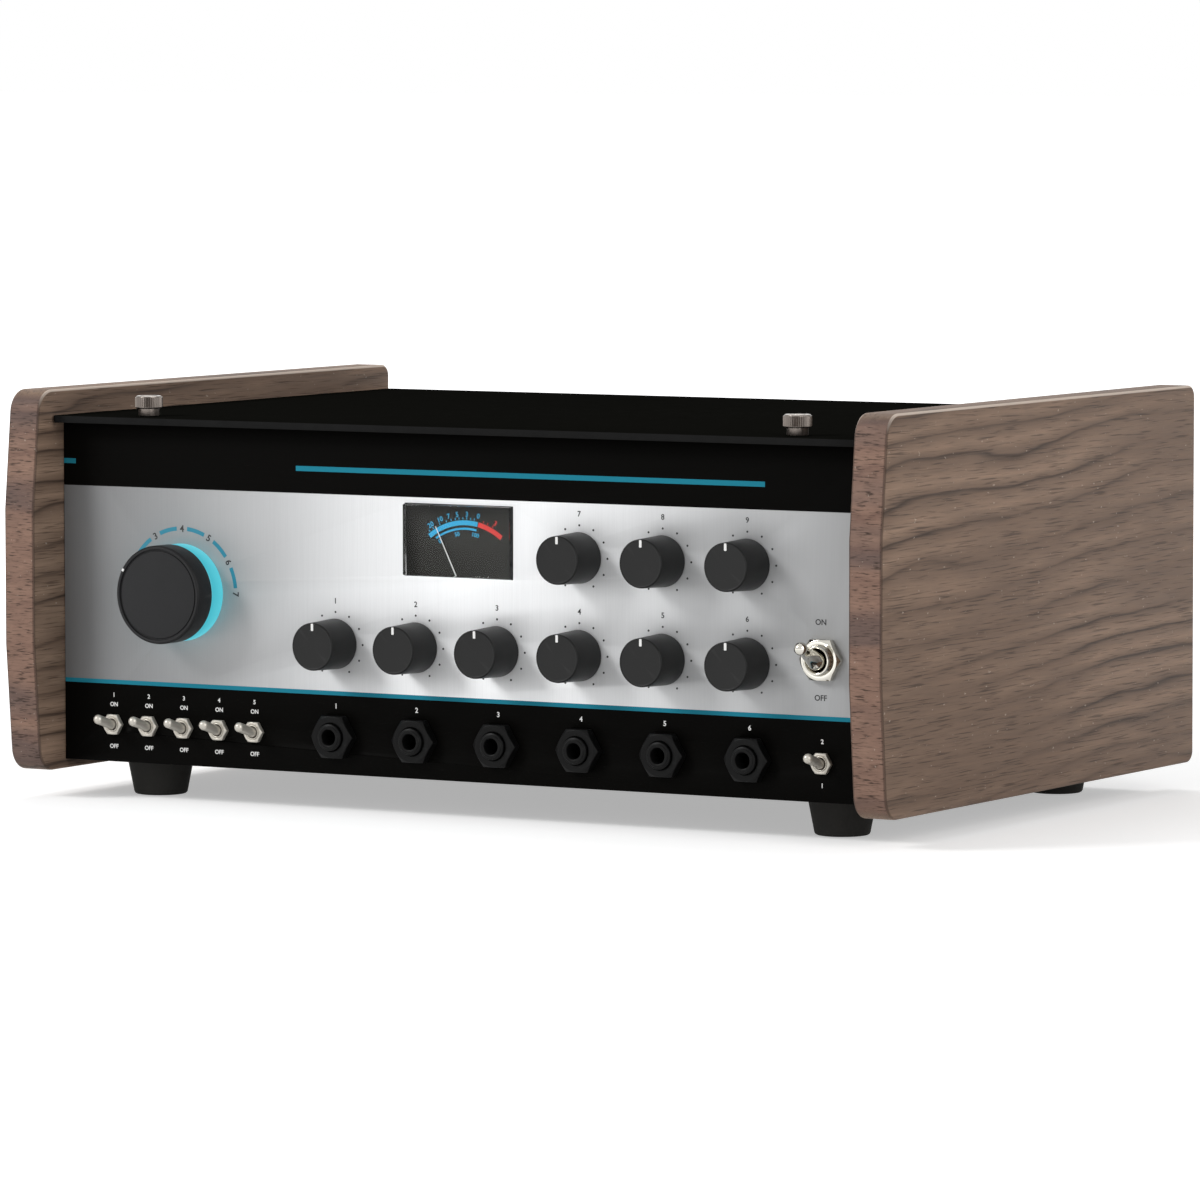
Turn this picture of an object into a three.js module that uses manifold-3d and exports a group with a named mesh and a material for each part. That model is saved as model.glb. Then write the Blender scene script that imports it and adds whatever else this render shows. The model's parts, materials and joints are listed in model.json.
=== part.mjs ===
import * as THREE from "three";
import { mergeVertices } from "three/addons/utils/BufferGeometryUtils.js";
import Module from "manifold-3d";

const wasm = await Module();
wasm.setup();

// Desktop tape echo unit in millimetres: +X right, +Y back, +Z up.
// The origin lies on the table, under the middle of the case.

// Fits
const fitGap = 0.3; // between a turning or loose piece and what carries it
const boreGap = 0.35; // round a shaft, in radius
const lidGap = 0.4; // lid to each wood side
const overrun = 1; // how far a cutter, or a piece joined into another, runs past the surface

// Wood sides
const clearWidth = 382.6; // between them
const woodThick = 14.7;
const woodHeight = 158.6;
const caseDepth = 280;
const woodTopLean = 5.2; // the front edge leans back above its upper crease
const woodFootLean = 4.6; // and below its lower crease
const upperCreaseShare = 0.69; // creases, as shares of the height
const lowerCreaseShare = 0.335;
const woodFrontRadius = 10;
const woodBackRadius = 5;
const woodArris = 1;

// Feet
const footDrop = 11.4; // below the wood
const footTopRadius = 14;
const footToeRadius = 11;
const footToeEdge = 0.8;
const footScrewRadius = 4;
const footScrewDepth = 6;
const footInset = 29.3; // centre from the wood's inner face
const footFrontInset = 28; // centre behind the panel face
const footRearInset = 30; // centre ahead of the rear wall

// Chassis
const sheet = 1.5;
const rearSetback = 10.8; // rear wall ahead of the wood's back edge
const railDepth = 14; // top front rail under the lid
const lowFlangeGap = 1; // bottom flange under the sockets' bodies
const sideFlange = 8;
const ledge = 12; // carries the deck
const ventCount = 12;
const ventPitch = 7;
const ventWide = 3;
const ventTall = 34;
const ventInset = 26.3; // first vent from the left wall
const ventDrop = 30.4; // top of the vents below the lid

// Front panel
const panelThick = 3;
const panelSetback = 22.2; // its face behind the wood's front
const panelRise = 4.05; // its bottom above the wood's
const panelSideGap = 0.3;

// Lid
const lidDrop = 10.7; // its top below the wood's
const lidThick = 2.9;
const lidOverhang = 8.6; // ahead of the panel face
const lidBackGap = 0.5;
const lidCorner = 2;

// Lid hinge
const hingeReach = 2.8; // axis behind the rear wall
const hingeDrop = 2.5; // axis under the lid
const knuckleRadius = 2.1;
const hingePinRadius = 1;
const hingeInset = 16.3; // its ends from the wood sides
const knuckleCount = 5;
const leafThick = 1;
const leafHeight = 14;
const lidLeaf = 6;

// Thumbscrews in the lid
const screwBehind = 7; // behind the panel face
const screwHeadRadius = 5.7;
const screwHeadHeight = 5.3;
const screwNeckRadius = 4.4;
const screwNeckHeight = 3;
const screwShankRadius = 2;
const screwShankLength = 9;
const knurlCount = 16;
const knurlDepth = 0.35;
const screwEdge = 0.5;

// Columns on the panel, as shares of half the clear width
const modeColumnShare = -0.6921;
const toggleFirstShare = -0.8709;
const togglePitchShare = 0.09075;
const knobFirstShare = -0.3016;
const knobPitchShare = 0.20073;
const jackFirstShare = -0.3011;
const jackPitchShare = 0.20178;
const meterColumnShare = 0.0058;
const rightColumnShare = 0.8782; // level switch and power switch
const screwColumnShare = 0.7998;

// Rows on the panel, as shares of its height
const lowRowShare = 0.1106; // small switches and sockets
const knobLowShare = 0.3807;
const powerRowShare = 0.4013;
const modeRowShare = 0.5112;
const knobHighShare = 0.6594;

// Small knobs: six below, three above
const knobLowCount = 6;
const knobHighCount = 3;
const knobBaseRadius = 10.35;
const knobFaceRadius = 9.8;
const knobProtrusion = 18;
const knobEdge = 0.6;
const knobRecessRadius = 7.6;
const knobRecessDepth = 4.5;
const shaftRadius = 3;

// Potentiometers behind them
const potBushRadius = 4.4;
const potBushNose = 3.2; // ahead of the panel face
const potWide = 16;
const potTall = 17;
const potDeep = 9;
const potBoreDepth = 5; // into the body
const boardThick = 1.6;
const boardMargin = 4; // board past the bodies

// Mode selector
const modeKnobRadius = 20.3;
const modeKnobThick = 10.2;
const modeRimWide = 1.5;
const modeFaceSink = 0.5;
const modeEdge = 0.6;
const ringRadius = 20.1;
const ringNutGap = 1.07; // round the selector's nut
const ringThick = 8.2;
const modeBushNose = 6;
const modeNutFlats = 12;
const modeNutThick = 2.5;
const modeBodyRadius = 14;
const modeBodyDeep = 20;

// Mini toggle switches: five at the left, one at the right
const toggleCount = 5;
const toggleNutFlats = 8.2;
const toggleNutThick = 2.2;
const toggleBushRadius = 3;
const toggleBoreRadius = 2.5;
const toggleBoreDepth = 4; // behind the panel face
const toggleBodyWide = 7;
const toggleBodyTall = 13;
const toggleBodyDeep = 10;
const toggleTilt = 17; // degrees up from square
const leverBallRadius = 2.05;
const leverLength = 9.9; // pivot to the middle of the tip
const leverTipRadius = 2;
const leverNeckRadius = 1.75;
const leverTailRadius = 0.8;
const leverTailLength = 3;

// Power switch
const powerNutFlats = 16.2;
const powerNutThick = 3.4;
const powerBushRadius = 5.9;
const powerBushNose = 5.8;
const powerBoreRadius = 4.3;
const powerBoreDepth = 4;
const powerBodyWide = 18;
const powerBodyTall = 30;
const powerBodyDeep = 22;
const powerTilt = 24;
const powerPivotSink = 0.6; // pivot behind the bush's front
const powerRootRadius = 3.5;
const powerConeRadius = 3.3;
const powerNeckRadius = 2.1;
const powerBallRadius = 2.7;
const powerLength = 13.8;
const powerTailRadius = 1.2;
const powerTailLength = 4;

// Sockets for 6.35 mm plugs
const jackCount = 6;
const jackBoreRadius = 3.25;
const jackBushRadius = 5.65;
const jackBushNose = 6.3;
const jackNutFlats = 17.2;
const jackNutThick = 4.6;
const jackBodyWide = 16;
const jackBodyDeep = 26;
const jackBoreDepth = 24;

// Level meter
const windowWide = 50.6;
const windowTall = 29;
const windowProud = 2;
const windowEdge = 0.5;
const meterRim = 2; // case past the window, each side
const meterTailGap = 1.4; // under the needle's tail
const meterBoardGap = 3.9; // case above the board of the lower knobs
const meterDeep = 12;
const pocketDeep = 2.6; // needle space behind the panel
const coilRadius = 17;
const coilDeep = 12;
const needlePivotDrop = 5.6; // pivot below the window
const needleLength = 28.3;
const needleWide = 0.7;
const needleThick = 0.5;
const needleHubRadius = 2.2;
const needlePinRadius = 0.8;
const needleTail = 4;
const needleLean = 25.6; // degrees left of upright at rest

// Deck and tape bin
const deckDrop = 38.4; // its top below the lid
const deckThick = 2;
const deckMeterGap = 3; // its front edge behind the meter's coil
const deckSideGap = 0.6;
const binGuideGap = 7; // its ends from the middle of the guides
const binHeadGap = 7.5; // front wall behind the head block
const binRearGap = 9; // back wall ahead of the rear wall
const binWall = 1.5;
const binHeight = 23;
const binCorner = 12;
const binMouth = 34; // tape slots in its side walls
const coverThick = 3;
const coverLip = 1.5; // cover past the bin

// Tape path
const tapeWide = 6.35;
const tapeThick = 0.4;
const tapeMidHeight = 14; // above the deck
const tapeLineBehind = 61.8; // head line behind the panel face
const guideRadius = 4;
const guideFlange = 1.2;
const guideFlangeThick = 1.2;
const guideInset = 34.3; // guides from the wood sides
const foldInset = 16; // first and last fold from the bin's ends
const foldGap = 4; // folds from its front and back walls
const foldShares = [0.96, 0.1, 0.8, 0.02, 0.9, 0.14, 1]; // where each fold turns, front to back

// Heads
const headBlockTall = 8;
const headBlockDeep = 20;
const headBlockMargin = 12; // past the outer heads
const headWide = 13;
const headDeep = 16;
const headTall = 12;
const headNoseRadius = 9;
const headBlockEdge = 0.5;
const headNames = ["erase_head", "record_head", "play_head_1", "play_head_2", "play_head_3"];
const headShares = [-0.777, -0.586, -0.28, 0.051, 0.382]; // of the way from the middle to a guide

// Capstan, pinch roller and drive
const capstanShare = 0.7134; // of the way to the right guide
const capstanRadius = 3;
const capstanAbove = 24; // shaft above the deck
const bearingRadius = 7;
const bearingRollerGap = 0.5; // bearing under the pinch roller
const bearingBelow = 5;
const flywheelRadius = 38;
const flywheelThick = 8;
const flywheelWeb = 3; // thin web between hub and rim
const flywheelRim = 7;
const hubRadius = 9;
const hubRise = 3; // hub above the rim
const pinchRadius = 11;
const pinchTall = 15;
const pinchSleeve = 2.4; // bore of the roller
const pinchPinRadius = 2;
const pinchPivotRight = 34; // arm's pivot from the roller
const pinchPivotFront = 6.5;
const pinchPostRadius = 3;
const pinchPostRise = 3; // post above the arm's hub
const armThick = 2;
const armHubRadius = 6;
const armHubTall = 5;
const armLift = 1.3; // arm above the deck
const armBossRadius = 4;
const motorShare = 0.1911;
const motorRadius = 21;
const motorTall = 42;
const motorFlangeThick = 2;
const motorPostRadius = 2.5;
const motorPostLength = 22;
const motorPostReach = 22;
const motorPostCount = 3;
const pulleyRadius = 8;
const pulleyLip = 1.2;
const pulleyLipThick = 1.2;
const pulleyShaftRadius = 1.6;
const pulleyShaftLength = 9;
const beltThick = 0.9;
const beltWide = 5;

// Main board, mains inlet and transformer
const mainCoreGap = 12; // board to transformer
const mainInset = 19.3; // board to the right wood side
const mainFront = 104; // behind the panel face
const mainBackGap = 6; // ahead of the rear wall
const standoff = 7;
const standoffRadius = 3;
const standoffInset = 6;
const canRadius = 9;
const canTall = 30;
const canPitch = 24;
const canCount = 4;
const canInset = 24; // first can from the board's left edge
const canBehind = 60; // behind the board's front edge
const sinkWide = 60;
const sinkDeep = 14;
const sinkTall = 32;
const finCount = 7;
const sinkSpine = 3.2; // plate that carries the fins
const finShare = 0.5; // fin's share of its pitch
const sinkInset = 62; // its middle from the board's right edge
const sinkBehind = 30;
const inletInset = 32; // its middle from the board's right edge
const inletRise = 25.05; // its middle above the floor
const inletWide = 28;
const inletTall = 21;
const inletDeep = 22;
const inletFlangeWide = 40;
const inletFlangeTall = 25;
const inletFlangeThick = 2;
const inletMouthWide = 24;
const inletMouthTall = 16.4;
const inletMouthDeep = 16;
const prongWide = 2;
const prongTall = 4;
const prongPitch = 7;
const prongCount = 3;
const prongLength = 12;
const prongDrop = 3; // below the middle of the mouth
const coreInset = 73.3; // its middle from the left wood side
const coreAhead = 77; // its middle ahead of the rear wall
const coreRadius = 46;
const coreHole = 12;
const coreTall = 42;
const coreRound = 9;
const coreCapRadius = 25;
const coreCapThick = 3;
const coreBoltRadius = 2.5;
const coreBoltRise = 3; // bolt above the cap

// Facets round a full turn
const fine = 24;
const medium = 16;
const coarse = 12;
const small = 8;
const cornerSteps = 3; // along a rounded corner
const straight = 1; // an outline with no curve

// Levels and planes that follow from the sizes above
const frontY = -caseDepth / 2;
const backY = caseDepth / 2;
const panelY = frontY + panelSetback;
const panelBackY = panelY + panelThick;
const rearY = backY - rearSetback;
const innerX = clearWidth / 2;
const woodTop = footDrop + woodHeight;
const lidTop = woodTop - lidDrop;
const lidUnder = lidTop - lidThick;
const floorZ = footDrop + panelRise;
const floorTop = floorZ + sheet;
const panelTop = lidUnder - fitGap;
const deckTop = lidUnder - deckDrop;
const deckUnder = deckTop - deckThick;
const deckY = panelBackY + meterDeep + coilDeep + deckMeterGap;
const tapeY = panelY + tapeLineBehind;
const tapeZ = deckTop + tapeMidHeight;
const guideX = innerX - guideInset;
const headBlockFront = tapeY + tapeThick / 2 + headDeep + headWide / 2 - headBlockDeep;
const capstanX = guideX * capstanShare;
const motorX = guideX * motorShare;
const capstanY = tapeY + tapeThick / 2 + fitGap + capstanRadius;
const pinchY = tapeY - tapeThick / 2 - fitGap - pinchRadius;
const flywheelTop = deckUnder - bearingBelow - fitGap - hubRise;

const column = (share) => share * innerX;
const level = (share) => floorZ + share * (panelTop - floorZ);
const modeX = column(modeColumnShare);
const meterX = column(meterColumnShare);
const rightX = column(rightColumnShare);
const screwX = column(screwColumnShare);
const lowRowZ = level(lowRowShare);
const knobLowZ = level(knobLowShare);
const knobHighZ = level(knobHighShare);
const powerZ = level(powerRowShare);
const modeZ = level(modeRowShare);
const meterLow = knobLowZ + potTall / 2 + boardMargin + meterBoardGap;
const needleZ = meterLow + meterRim + meterTailGap + needleTail;
const windowLow = needleZ + needlePivotDrop;
const meterZ = windowLow + windowTall / 2;

const coreX = coreInset - innerX;
const mainLeft = coreX + coreRadius + mainCoreGap;
const mainRight = innerX - mainInset;
const inletX = mainRight - inletInset;
const inletZ = floorTop + inletRise;

const xAxis = new THREE.Vector3(1, 0, 0);
const yAxis = new THREE.Vector3(0, 1, 0);
const zAxis = new THREE.Vector3(0, 0, 1);
const sideOutline = new THREE.Matrix4().makeBasis(yAxis, zAxis, xAxis); // drawn in YZ, thick in X
const frontOutline = new THREE.Matrix4().makeBasis(xAxis, zAxis, yAxis.clone().negate()); // drawn in XZ

// A closed mesh with shared corners and no sliver triangles
function welded(geometry) {
  const bare = geometry.clone();
  bare.deleteAttribute("normal");
  bare.deleteAttribute("uv");
  const merged = mergeVertices(bare);
  const corners = merged.index.array;
  const kept = [];
  for (let i = 0; i < corners.length; i += 3) {
    const [a, b, c] = [corners[i], corners[i + 1], corners[i + 2]];
    if (a !== b && b !== c && c !== a) kept.push(a, b, c);
  }
  merged.setIndex(kept);
  return merged;
}

function solidOf(piece) {
  if (!piece.isBufferGeometry) return piece;
  const mesh = welded(piece);
  const vertProperties = new Float32Array(mesh.attributes.position.array);
  const triVerts = new Uint32Array(mesh.index.array);
  return new wasm.Manifold(new wasm.Mesh({ numProp: 3, vertProperties, triVerts }));
}

function geometryOf(piece) {
  if (piece.isBufferGeometry) return welded(piece);
  const mesh = piece.getMesh();
  const geometry = new THREE.BufferGeometry();
  geometry.setAttribute("position", new THREE.Float32BufferAttribute(mesh.vertProperties, 3));
  geometry.setIndex(Array.from(mesh.triVerts));
  return geometry;
}

const join = (...pieces) => pieces.map(solidOf).reduce((sum, piece) => sum.add(piece));
const cut = (body, ...tools) =>
  tools.map(solidOf).reduce((rest, tool) => rest.subtract(tool), solidOf(body));
const common = (body, limit) => solidOf(body).intersect(solidOf(limit));

function block(x0, x1, y0, y1, z0, z1) {
  const geometry = new THREE.BoxGeometry(x1 - x0, y1 - y0, z1 - z0);
  return geometry.translate((x0 + x1) / 2, (y0 + y1) / 2, (z0 + z1) / 2);
}

// Round bars between two places on the named axis; the other two places give the centre line
function rodX(radius, x0, x1, y, z, sides) {
  const bar = new THREE.CylinderGeometry(radius, radius, x1 - x0, sides);
  return bar.rotateZ(-Math.PI / 2).translate((x0 + x1) / 2, y, z);
}

function rodY(radius, y0, y1, x, z, sides) {
  return new THREE.CylinderGeometry(radius, radius, y1 - y0, sides).translate(x, (y0 + y1) / 2, z);
}

function rodZ(radius, z0, z1, x, y, sides) {
  const bar = new THREE.CylinderGeometry(radius, radius, z1 - z0, sides);
  return bar.rotateX(Math.PI / 2).translate(x, y, (z0 + z1) / 2);
}

// A profile of [radius, place] pairs turned about the Y axis, or about the Z axis
function turnedY(profile, sides) {
  return new THREE.LatheGeometry(profile.map(([r, y]) => new THREE.Vector2(r, y)), sides);
}

const turnedZ = (profile, sides) => turnedY(profile, sides).rotateX(Math.PI / 2);

function extruded(shape, depth, curveSegments, bevel = 0) {
  return new THREE.ExtrudeGeometry(shape, {
    depth: depth - 2 * bevel,
    curveSegments,
    bevelEnabled: bevel > 0,
    bevelThickness: bevel,
    bevelSize: bevel,
    bevelOffset: -bevel,
    bevelSegments: 1,
  }).translate(0, 0, bevel);
}

// An outline through [x, y, radius] corners, counter-clockwise
function outline(corners) {
  const shape = new THREE.Shape();
  corners.forEach(([x, y, radius], i) => {
    const [bx, by] = corners.at(i - 1);
    const [nx, ny] = corners[(i + 1) % corners.length];
    const back = new THREE.Vector2(bx - x, by - y).normalize();
    const ahead = new THREE.Vector2(nx - x, ny - y).normalize();
    const half = Math.acos(back.dot(ahead)) / 2;
    const corner = new THREE.Vector2(x, y);
    const start = corner.clone().addScaledVector(back, radius / Math.tan(half));
    if (i === 0) shape.moveTo(start.x, start.y);
    else shape.lineTo(start.x, start.y);
    if (radius === 0) return;
    const end = corner.clone().addScaledVector(ahead, radius / Math.tan(half));
    const middle = back.clone().add(ahead).normalize();
    const centre = corner.addScaledVector(middle, radius / Math.sin(half));
    const from = Math.atan2(start.y - centre.y, start.x - centre.x);
    const to = Math.atan2(end.y - centre.y, end.x - centre.x);
    shape.absarc(centre.x, centre.y, radius, from, to, false);
  });
  return shape;
}

function rectangle(x0, x1, y0, y1, radius = 0) {
  return outline([[x0, y0, radius], [x1, y0, radius], [x1, y1, radius], [x0, y1, radius]]);
}

function roundHole(shape, x, y, radius) {
  shape.holes.push(new THREE.Path().absarc(x, y, radius, 0, 2 * Math.PI, true));
}

// A hexagon nut along Y with two flats level and its front corners turned off
function hexNut(flats, back, thick, x, z) {
  const reach = flats / Math.sqrt(3);
  const prism = new THREE.CylinderGeometry(reach, reach, thick, 6).rotateY(Math.PI / 6);
  const chamfer = (reach - flats / 2) / 2;
  const cone = turnedY([[0, -thick / 2], [flats / 2, -thick / 2], [reach, chamfer - thick / 2],
    [reach, thick / 2], [0, thick / 2]], coarse);
  return common(prism, cone).translate([x, back - thick / 2, z]);
}

const walnut = { color: 0x7a6555, roughness: 0.55, metalness: 0 };
const blackSteel = { color: 0x141414, roughness: 0.5, metalness: 0.3 };
const rubber = { color: 0x161616, roughness: 0.8, metalness: 0 };
const satin = { color: 0xb9bab8, roughness: 0.35, metalness: 0.7 };
const knobBlack = { color: 0x303030, roughness: 0.45, metalness: 0 };
const nickel = { color: 0xc9c7c2, roughness: 0.25, metalness: 1 };
const glow = { color: 0x35cfe0, roughness: 0.4, metalness: 0 };
const plasticBlack = { color: 0x101010, roughness: 0.4, metalness: 0 };
const clear = { color: 0xe8f0f2, roughness: 0.05, metalness: 0, transparent: true, opacity: 0.35 };
const dialFace = { color: 0x2c2c2b, roughness: 0.5, metalness: 0 };
const white = { color: 0xf0f0ee, roughness: 0.4, metalness: 0 };
const zinc = { color: 0x9fa3a5, roughness: 0.4, metalness: 0.8 };
const aluminium = { color: 0xb4b6b7, roughness: 0.35, metalness: 0.9 };
const brass = { color: 0xb0904a, roughness: 0.3, metalness: 1 };
const tapeBrown = { color: 0x4a3226, roughness: 0.35, metalness: 0 };
const boardGreen = { color: 0x24563c, roughness: 0.5, metalness: 0 };
const winding = { color: 0xb98b2f, roughness: 0.4, metalness: 0.2 };

const echoUnit = new THREE.Group();

function add(name, piece, finish, x = 0, y = 0, z = 0) {
  const mesh = new THREE.Mesh(geometryOf(piece), new THREE.MeshStandardMaterial({ ...finish }));
  mesh.name = name;
  mesh.position.set(x, y, z);
  echoUnit.add(mesh);
  return mesh;
}

const row = (count, first, pitch) => Array.from({ length: count }, (_, i) => first + i * pitch);
const knobLowXs = row(knobLowCount, column(knobFirstShare), column(knobPitchShare));
const knobHighXs = knobLowXs.slice(-knobHighCount);
const knobPlaces = [
  ...knobLowXs.map((x, i) => ({ name: `knob_lower_${i + 1}`, x, z: knobLowZ })),
  ...knobHighXs.map((x, i) => ({ name: `knob_upper_${i + 1}`, x, z: knobHighZ })),
];
const toggleXs = row(toggleCount, column(toggleFirstShare), column(togglePitchShare));
const jackXs = row(jackCount, column(jackFirstShare), column(jackPitchShare));

// Wood sides: one flat board each, with a front edge of three facets
function woodSide() {
  const topFront = frontY + woodTopLean;
  const footFront = frontY + woodFootLean;
  const profile = outline([
    [backY, 0, woodBackRadius],
    [backY, woodHeight, woodBackRadius],
    [topFront, woodHeight, woodFrontRadius],
    [frontY, woodHeight * upperCreaseShare, 0],
    [frontY, woodHeight * lowerCreaseShare, 0],
    [footFront, 0, woodFrontRadius],
  ]);
  const board = extruded(profile, woodThick, cornerSteps, woodArris);
  return board.applyMatrix4(sideOutline).translate(-woodThick / 2, 0, 0);
}

add("wood_side_left", woodSide(), walnut, -innerX - woodThick / 2, 0, footDrop);
add("wood_side_right", woodSide(), walnut, innerX + woodThick / 2, 0, footDrop);

// Chassis: a folded tub with flanges for the panel, a rail for the lid and ledges for the deck
function chassis() {
  const wall = innerX - sheet;
  const shell = join(
    block(-innerX, innerX, panelBackY, rearY, floorZ, floorTop),
    block(-innerX, -wall, panelBackY, rearY, floorZ, lidUnder),
    block(wall, innerX, panelBackY, rearY, floorZ, lidUnder),
    block(-innerX, innerX, rearY - sheet, rearY, floorZ, lidUnder),
    block(-innerX, innerX, panelBackY, panelBackY + railDepth, lidUnder - sheet, lidUnder),
    block(-innerX, innerX, panelBackY, panelBackY + sheet, floorZ,
      lowRowZ - jackBodyWide / 2 - lowFlangeGap),
    block(-innerX, sideFlange - innerX, panelBackY, panelBackY + sheet, floorZ, lidUnder),
    block(innerX - sideFlange, innerX, panelBackY, panelBackY + sheet, floorZ, lidUnder),
    block(-innerX, ledge - wall, deckY, rearY, deckUnder - sheet, deckUnder),
    block(wall - ledge, innerX, deckY, rearY, deckUnder - sheet, deckUnder),
  );
  const ventTop = lidUnder - ventDrop;
  const vents = row(ventCount, ventInset - innerX, ventPitch).map((x) =>
    block(x, x + ventWide, rearY - sheet - overrun, rearY + overrun, ventTop - ventTall, ventTop));
  const screwHoles = [-screwX, screwX].map((x) => rodZ(screwShankRadius + 2 * boreGap,
    lidUnder - sheet - overrun, lidUnder + overrun, x, panelY + screwBehind, small));
  const inletHole = block(inletX - inletWide / 2 - fitGap, inletX + inletWide / 2 + fitGap,
    rearY - sheet - overrun, rearY + overrun,
    inletZ - inletTall / 2 - fitGap, inletZ + inletTall / 2 + fitGap);
  return cut(shell, ...vents, ...screwHoles, inletHole);
}

add("chassis_tub", chassis(), blackSteel);

// Front panel: one plate, pierced for every control
function frontPanel() {
  const shape = rectangle(panelSideGap - innerX, innerX - panelSideGap, floorZ, panelTop);
  knobPlaces.forEach(({ x, z }) => roundHole(shape, x, z, potBushRadius + fitGap));
  toggleXs.forEach((x) => roundHole(shape, x, lowRowZ, toggleBushRadius + boreGap));
  jackXs.forEach((x) => roundHole(shape, x, lowRowZ, jackBushRadius + boreGap));
  roundHole(shape, modeX, modeZ, potBushRadius + fitGap);
  roundHole(shape, rightX, lowRowZ, toggleBushRadius + boreGap);
  roundHole(shape, rightX, powerZ, powerBushRadius + boreGap);
  const left = meterX - windowWide / 2 - fitGap;
  const right = meterX + windowWide / 2 + fitGap;
  const low = meterZ - windowTall / 2 - fitGap;
  const high = meterZ + windowTall / 2 + fitGap;
  shape.holes.push(rectangle(left, right, low, high));
  return extruded(shape, panelThick, coarse / 2).applyMatrix4(frontOutline);
}

add("front_panel", frontPanel(), satin, 0, panelBackY, 0);

// Feet: tapered rubber, each with a hole for its screw
function foot() {
  return turnedZ([
    [0, footScrewDepth], [footScrewRadius, footScrewDepth], [footScrewRadius, 0],
    [footToeRadius - footToeEdge, 0], [footToeRadius, footToeEdge],
    [footTopRadius, floorZ], [0, floorZ],
  ], coarse);
}

const footX = innerX - footInset;
const footFrontY = panelY + footFrontInset;
const footRearY = rearY - footRearInset;
add("foot_front_left", foot(), rubber, -footX, footFrontY);
add("foot_front_right", foot(), rubber, footX, footFrontY);
add("foot_rear_left", foot(), rubber, -footX, footRearY);
add("foot_rear_right", foot(), rubber, footX, footRearY);

// Lid: flat plate with the moving leaf of the hinge on its back edge
const hingeY = rearY + hingeReach;
const hingeZ = lidUnder - hingeDrop;
const hingeLength = 2 * (innerX - hingeInset);
const knuckleLength = hingeLength / knuckleCount;
const knuckleSpan = (i) => {
  const start = i * knuckleLength - hingeLength / 2;
  return [start + fitGap / 2, start + knuckleLength - fitGap / 2];
};
const fixedKnuckles = [...Array(knuckleCount).keys()].filter((i) => i % 2 === 0).map(knuckleSpan);
const lidKnuckles = [...Array(knuckleCount).keys()].filter((i) => i % 2 === 1).map(knuckleSpan);

function lid() {
  const halfWide = innerX - lidGap;
  const shape = rectangle(-halfWide, halfWide, panelY - lidOverhang, backY - lidBackGap, lidCorner);
  [-screwX, screwX].forEach((x) => roundHole(shape, x, panelY + screwBehind, screwShankRadius + boreGap));
  const plate = extruded(shape, lidThick, small / 2).translate(0, 0, lidUnder);
  const leaves = lidKnuckles.flatMap(([x0, x1]) => [
    block(x0, x1, hingeY, hingeY + lidLeaf, lidUnder - leafThick, lidUnder),
    rodX(knuckleRadius, x0, x1, hingeY, hingeZ, small),
    block(x0, x1, hingeY + knuckleRadius - leafThick, hingeY + knuckleRadius, hingeZ, lidUnder),
  ]);
  const bores = lidKnuckles.map(([x0, x1]) =>
    rodX(hingePinRadius + boreGap, x0 - overrun, x1 + overrun, hingeY, hingeZ, small));
  return cut(join(plate, ...leaves), ...bores);
}

add("lid_plate", lid(), blackSteel);

// Hinge leaf on the rear wall, with its knuckles and the long pin
function hingeLeaf() {
  const leaves = fixedKnuckles.flatMap(([x0, x1]) => [
    rodX(knuckleRadius, x0, x1, hingeY, hingeZ, small),
    block(x0, x1, rearY, hingeY, hingeZ - knuckleRadius, hingeZ - knuckleRadius + leafThick),
  ]);
  const [first] = fixedKnuckles[0];
  const [, last] = fixedKnuckles.at(-1);
  return join(
    rodX(hingePinRadius, first, last, hingeY, hingeZ, small),
    block(first, last, rearY, rearY + leafThick / 2, hingeZ - leafHeight,
      hingeZ - knuckleRadius + leafThick),
    ...leaves,
  );
}

add("lid_hinge", hingeLeaf(), zinc);

// Thumbscrews: knurled head, plain neck, shank through the lid into the rail
function thumbscrew() {
  const shape = new THREE.Shape();
  const steps = knurlCount * 2;
  for (let i = 0; i < steps; i += 1) {
    const angle = (i / steps) * 2 * Math.PI;
    const radius = screwHeadRadius - (i % 2) * knurlDepth;
    const [x, y] = [radius * Math.cos(angle), radius * Math.sin(angle)];
    if (i === 0) shape.moveTo(x, y);
    else shape.lineTo(x, y);
  }
  return join(
    extruded(shape, screwHeadHeight, straight, screwEdge).translate(0, 0, screwNeckHeight),
    rodZ(screwNeckRadius, 0, screwNeckHeight + overrun, 0, 0, medium),
    rodZ(screwShankRadius, -screwShankLength, overrun, 0, 0, small),
  );
}

const screwY = panelY + screwBehind;
add("lid_screw_left", thumbscrew(), nickel, -screwX, screwY, lidTop + fitGap / 2);
add("lid_screw_right", thumbscrew(), nickel, screwX, screwY, lidTop + fitGap / 2);

// Small knobs, each with the shaft it is fixed on
function knob() {
  const back = -fitGap;
  const front = -knobProtrusion;
  const shaftEnd = panelThick + potBoreDepth - fitGap;
  return turnedY([
    [0, front], [knobFaceRadius - knobEdge, front], [knobFaceRadius, front + knobEdge],
    [knobBaseRadius, back], [knobRecessRadius, back], [knobRecessRadius, back - knobRecessDepth],
    [shaftRadius, back - knobRecessDepth], [shaftRadius, shaftEnd], [0, shaftEnd],
  ], medium);
}

knobPlaces.forEach(({ name, x, z }) => add(name, knob(), knobBlack, x, panelY, z));

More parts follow.
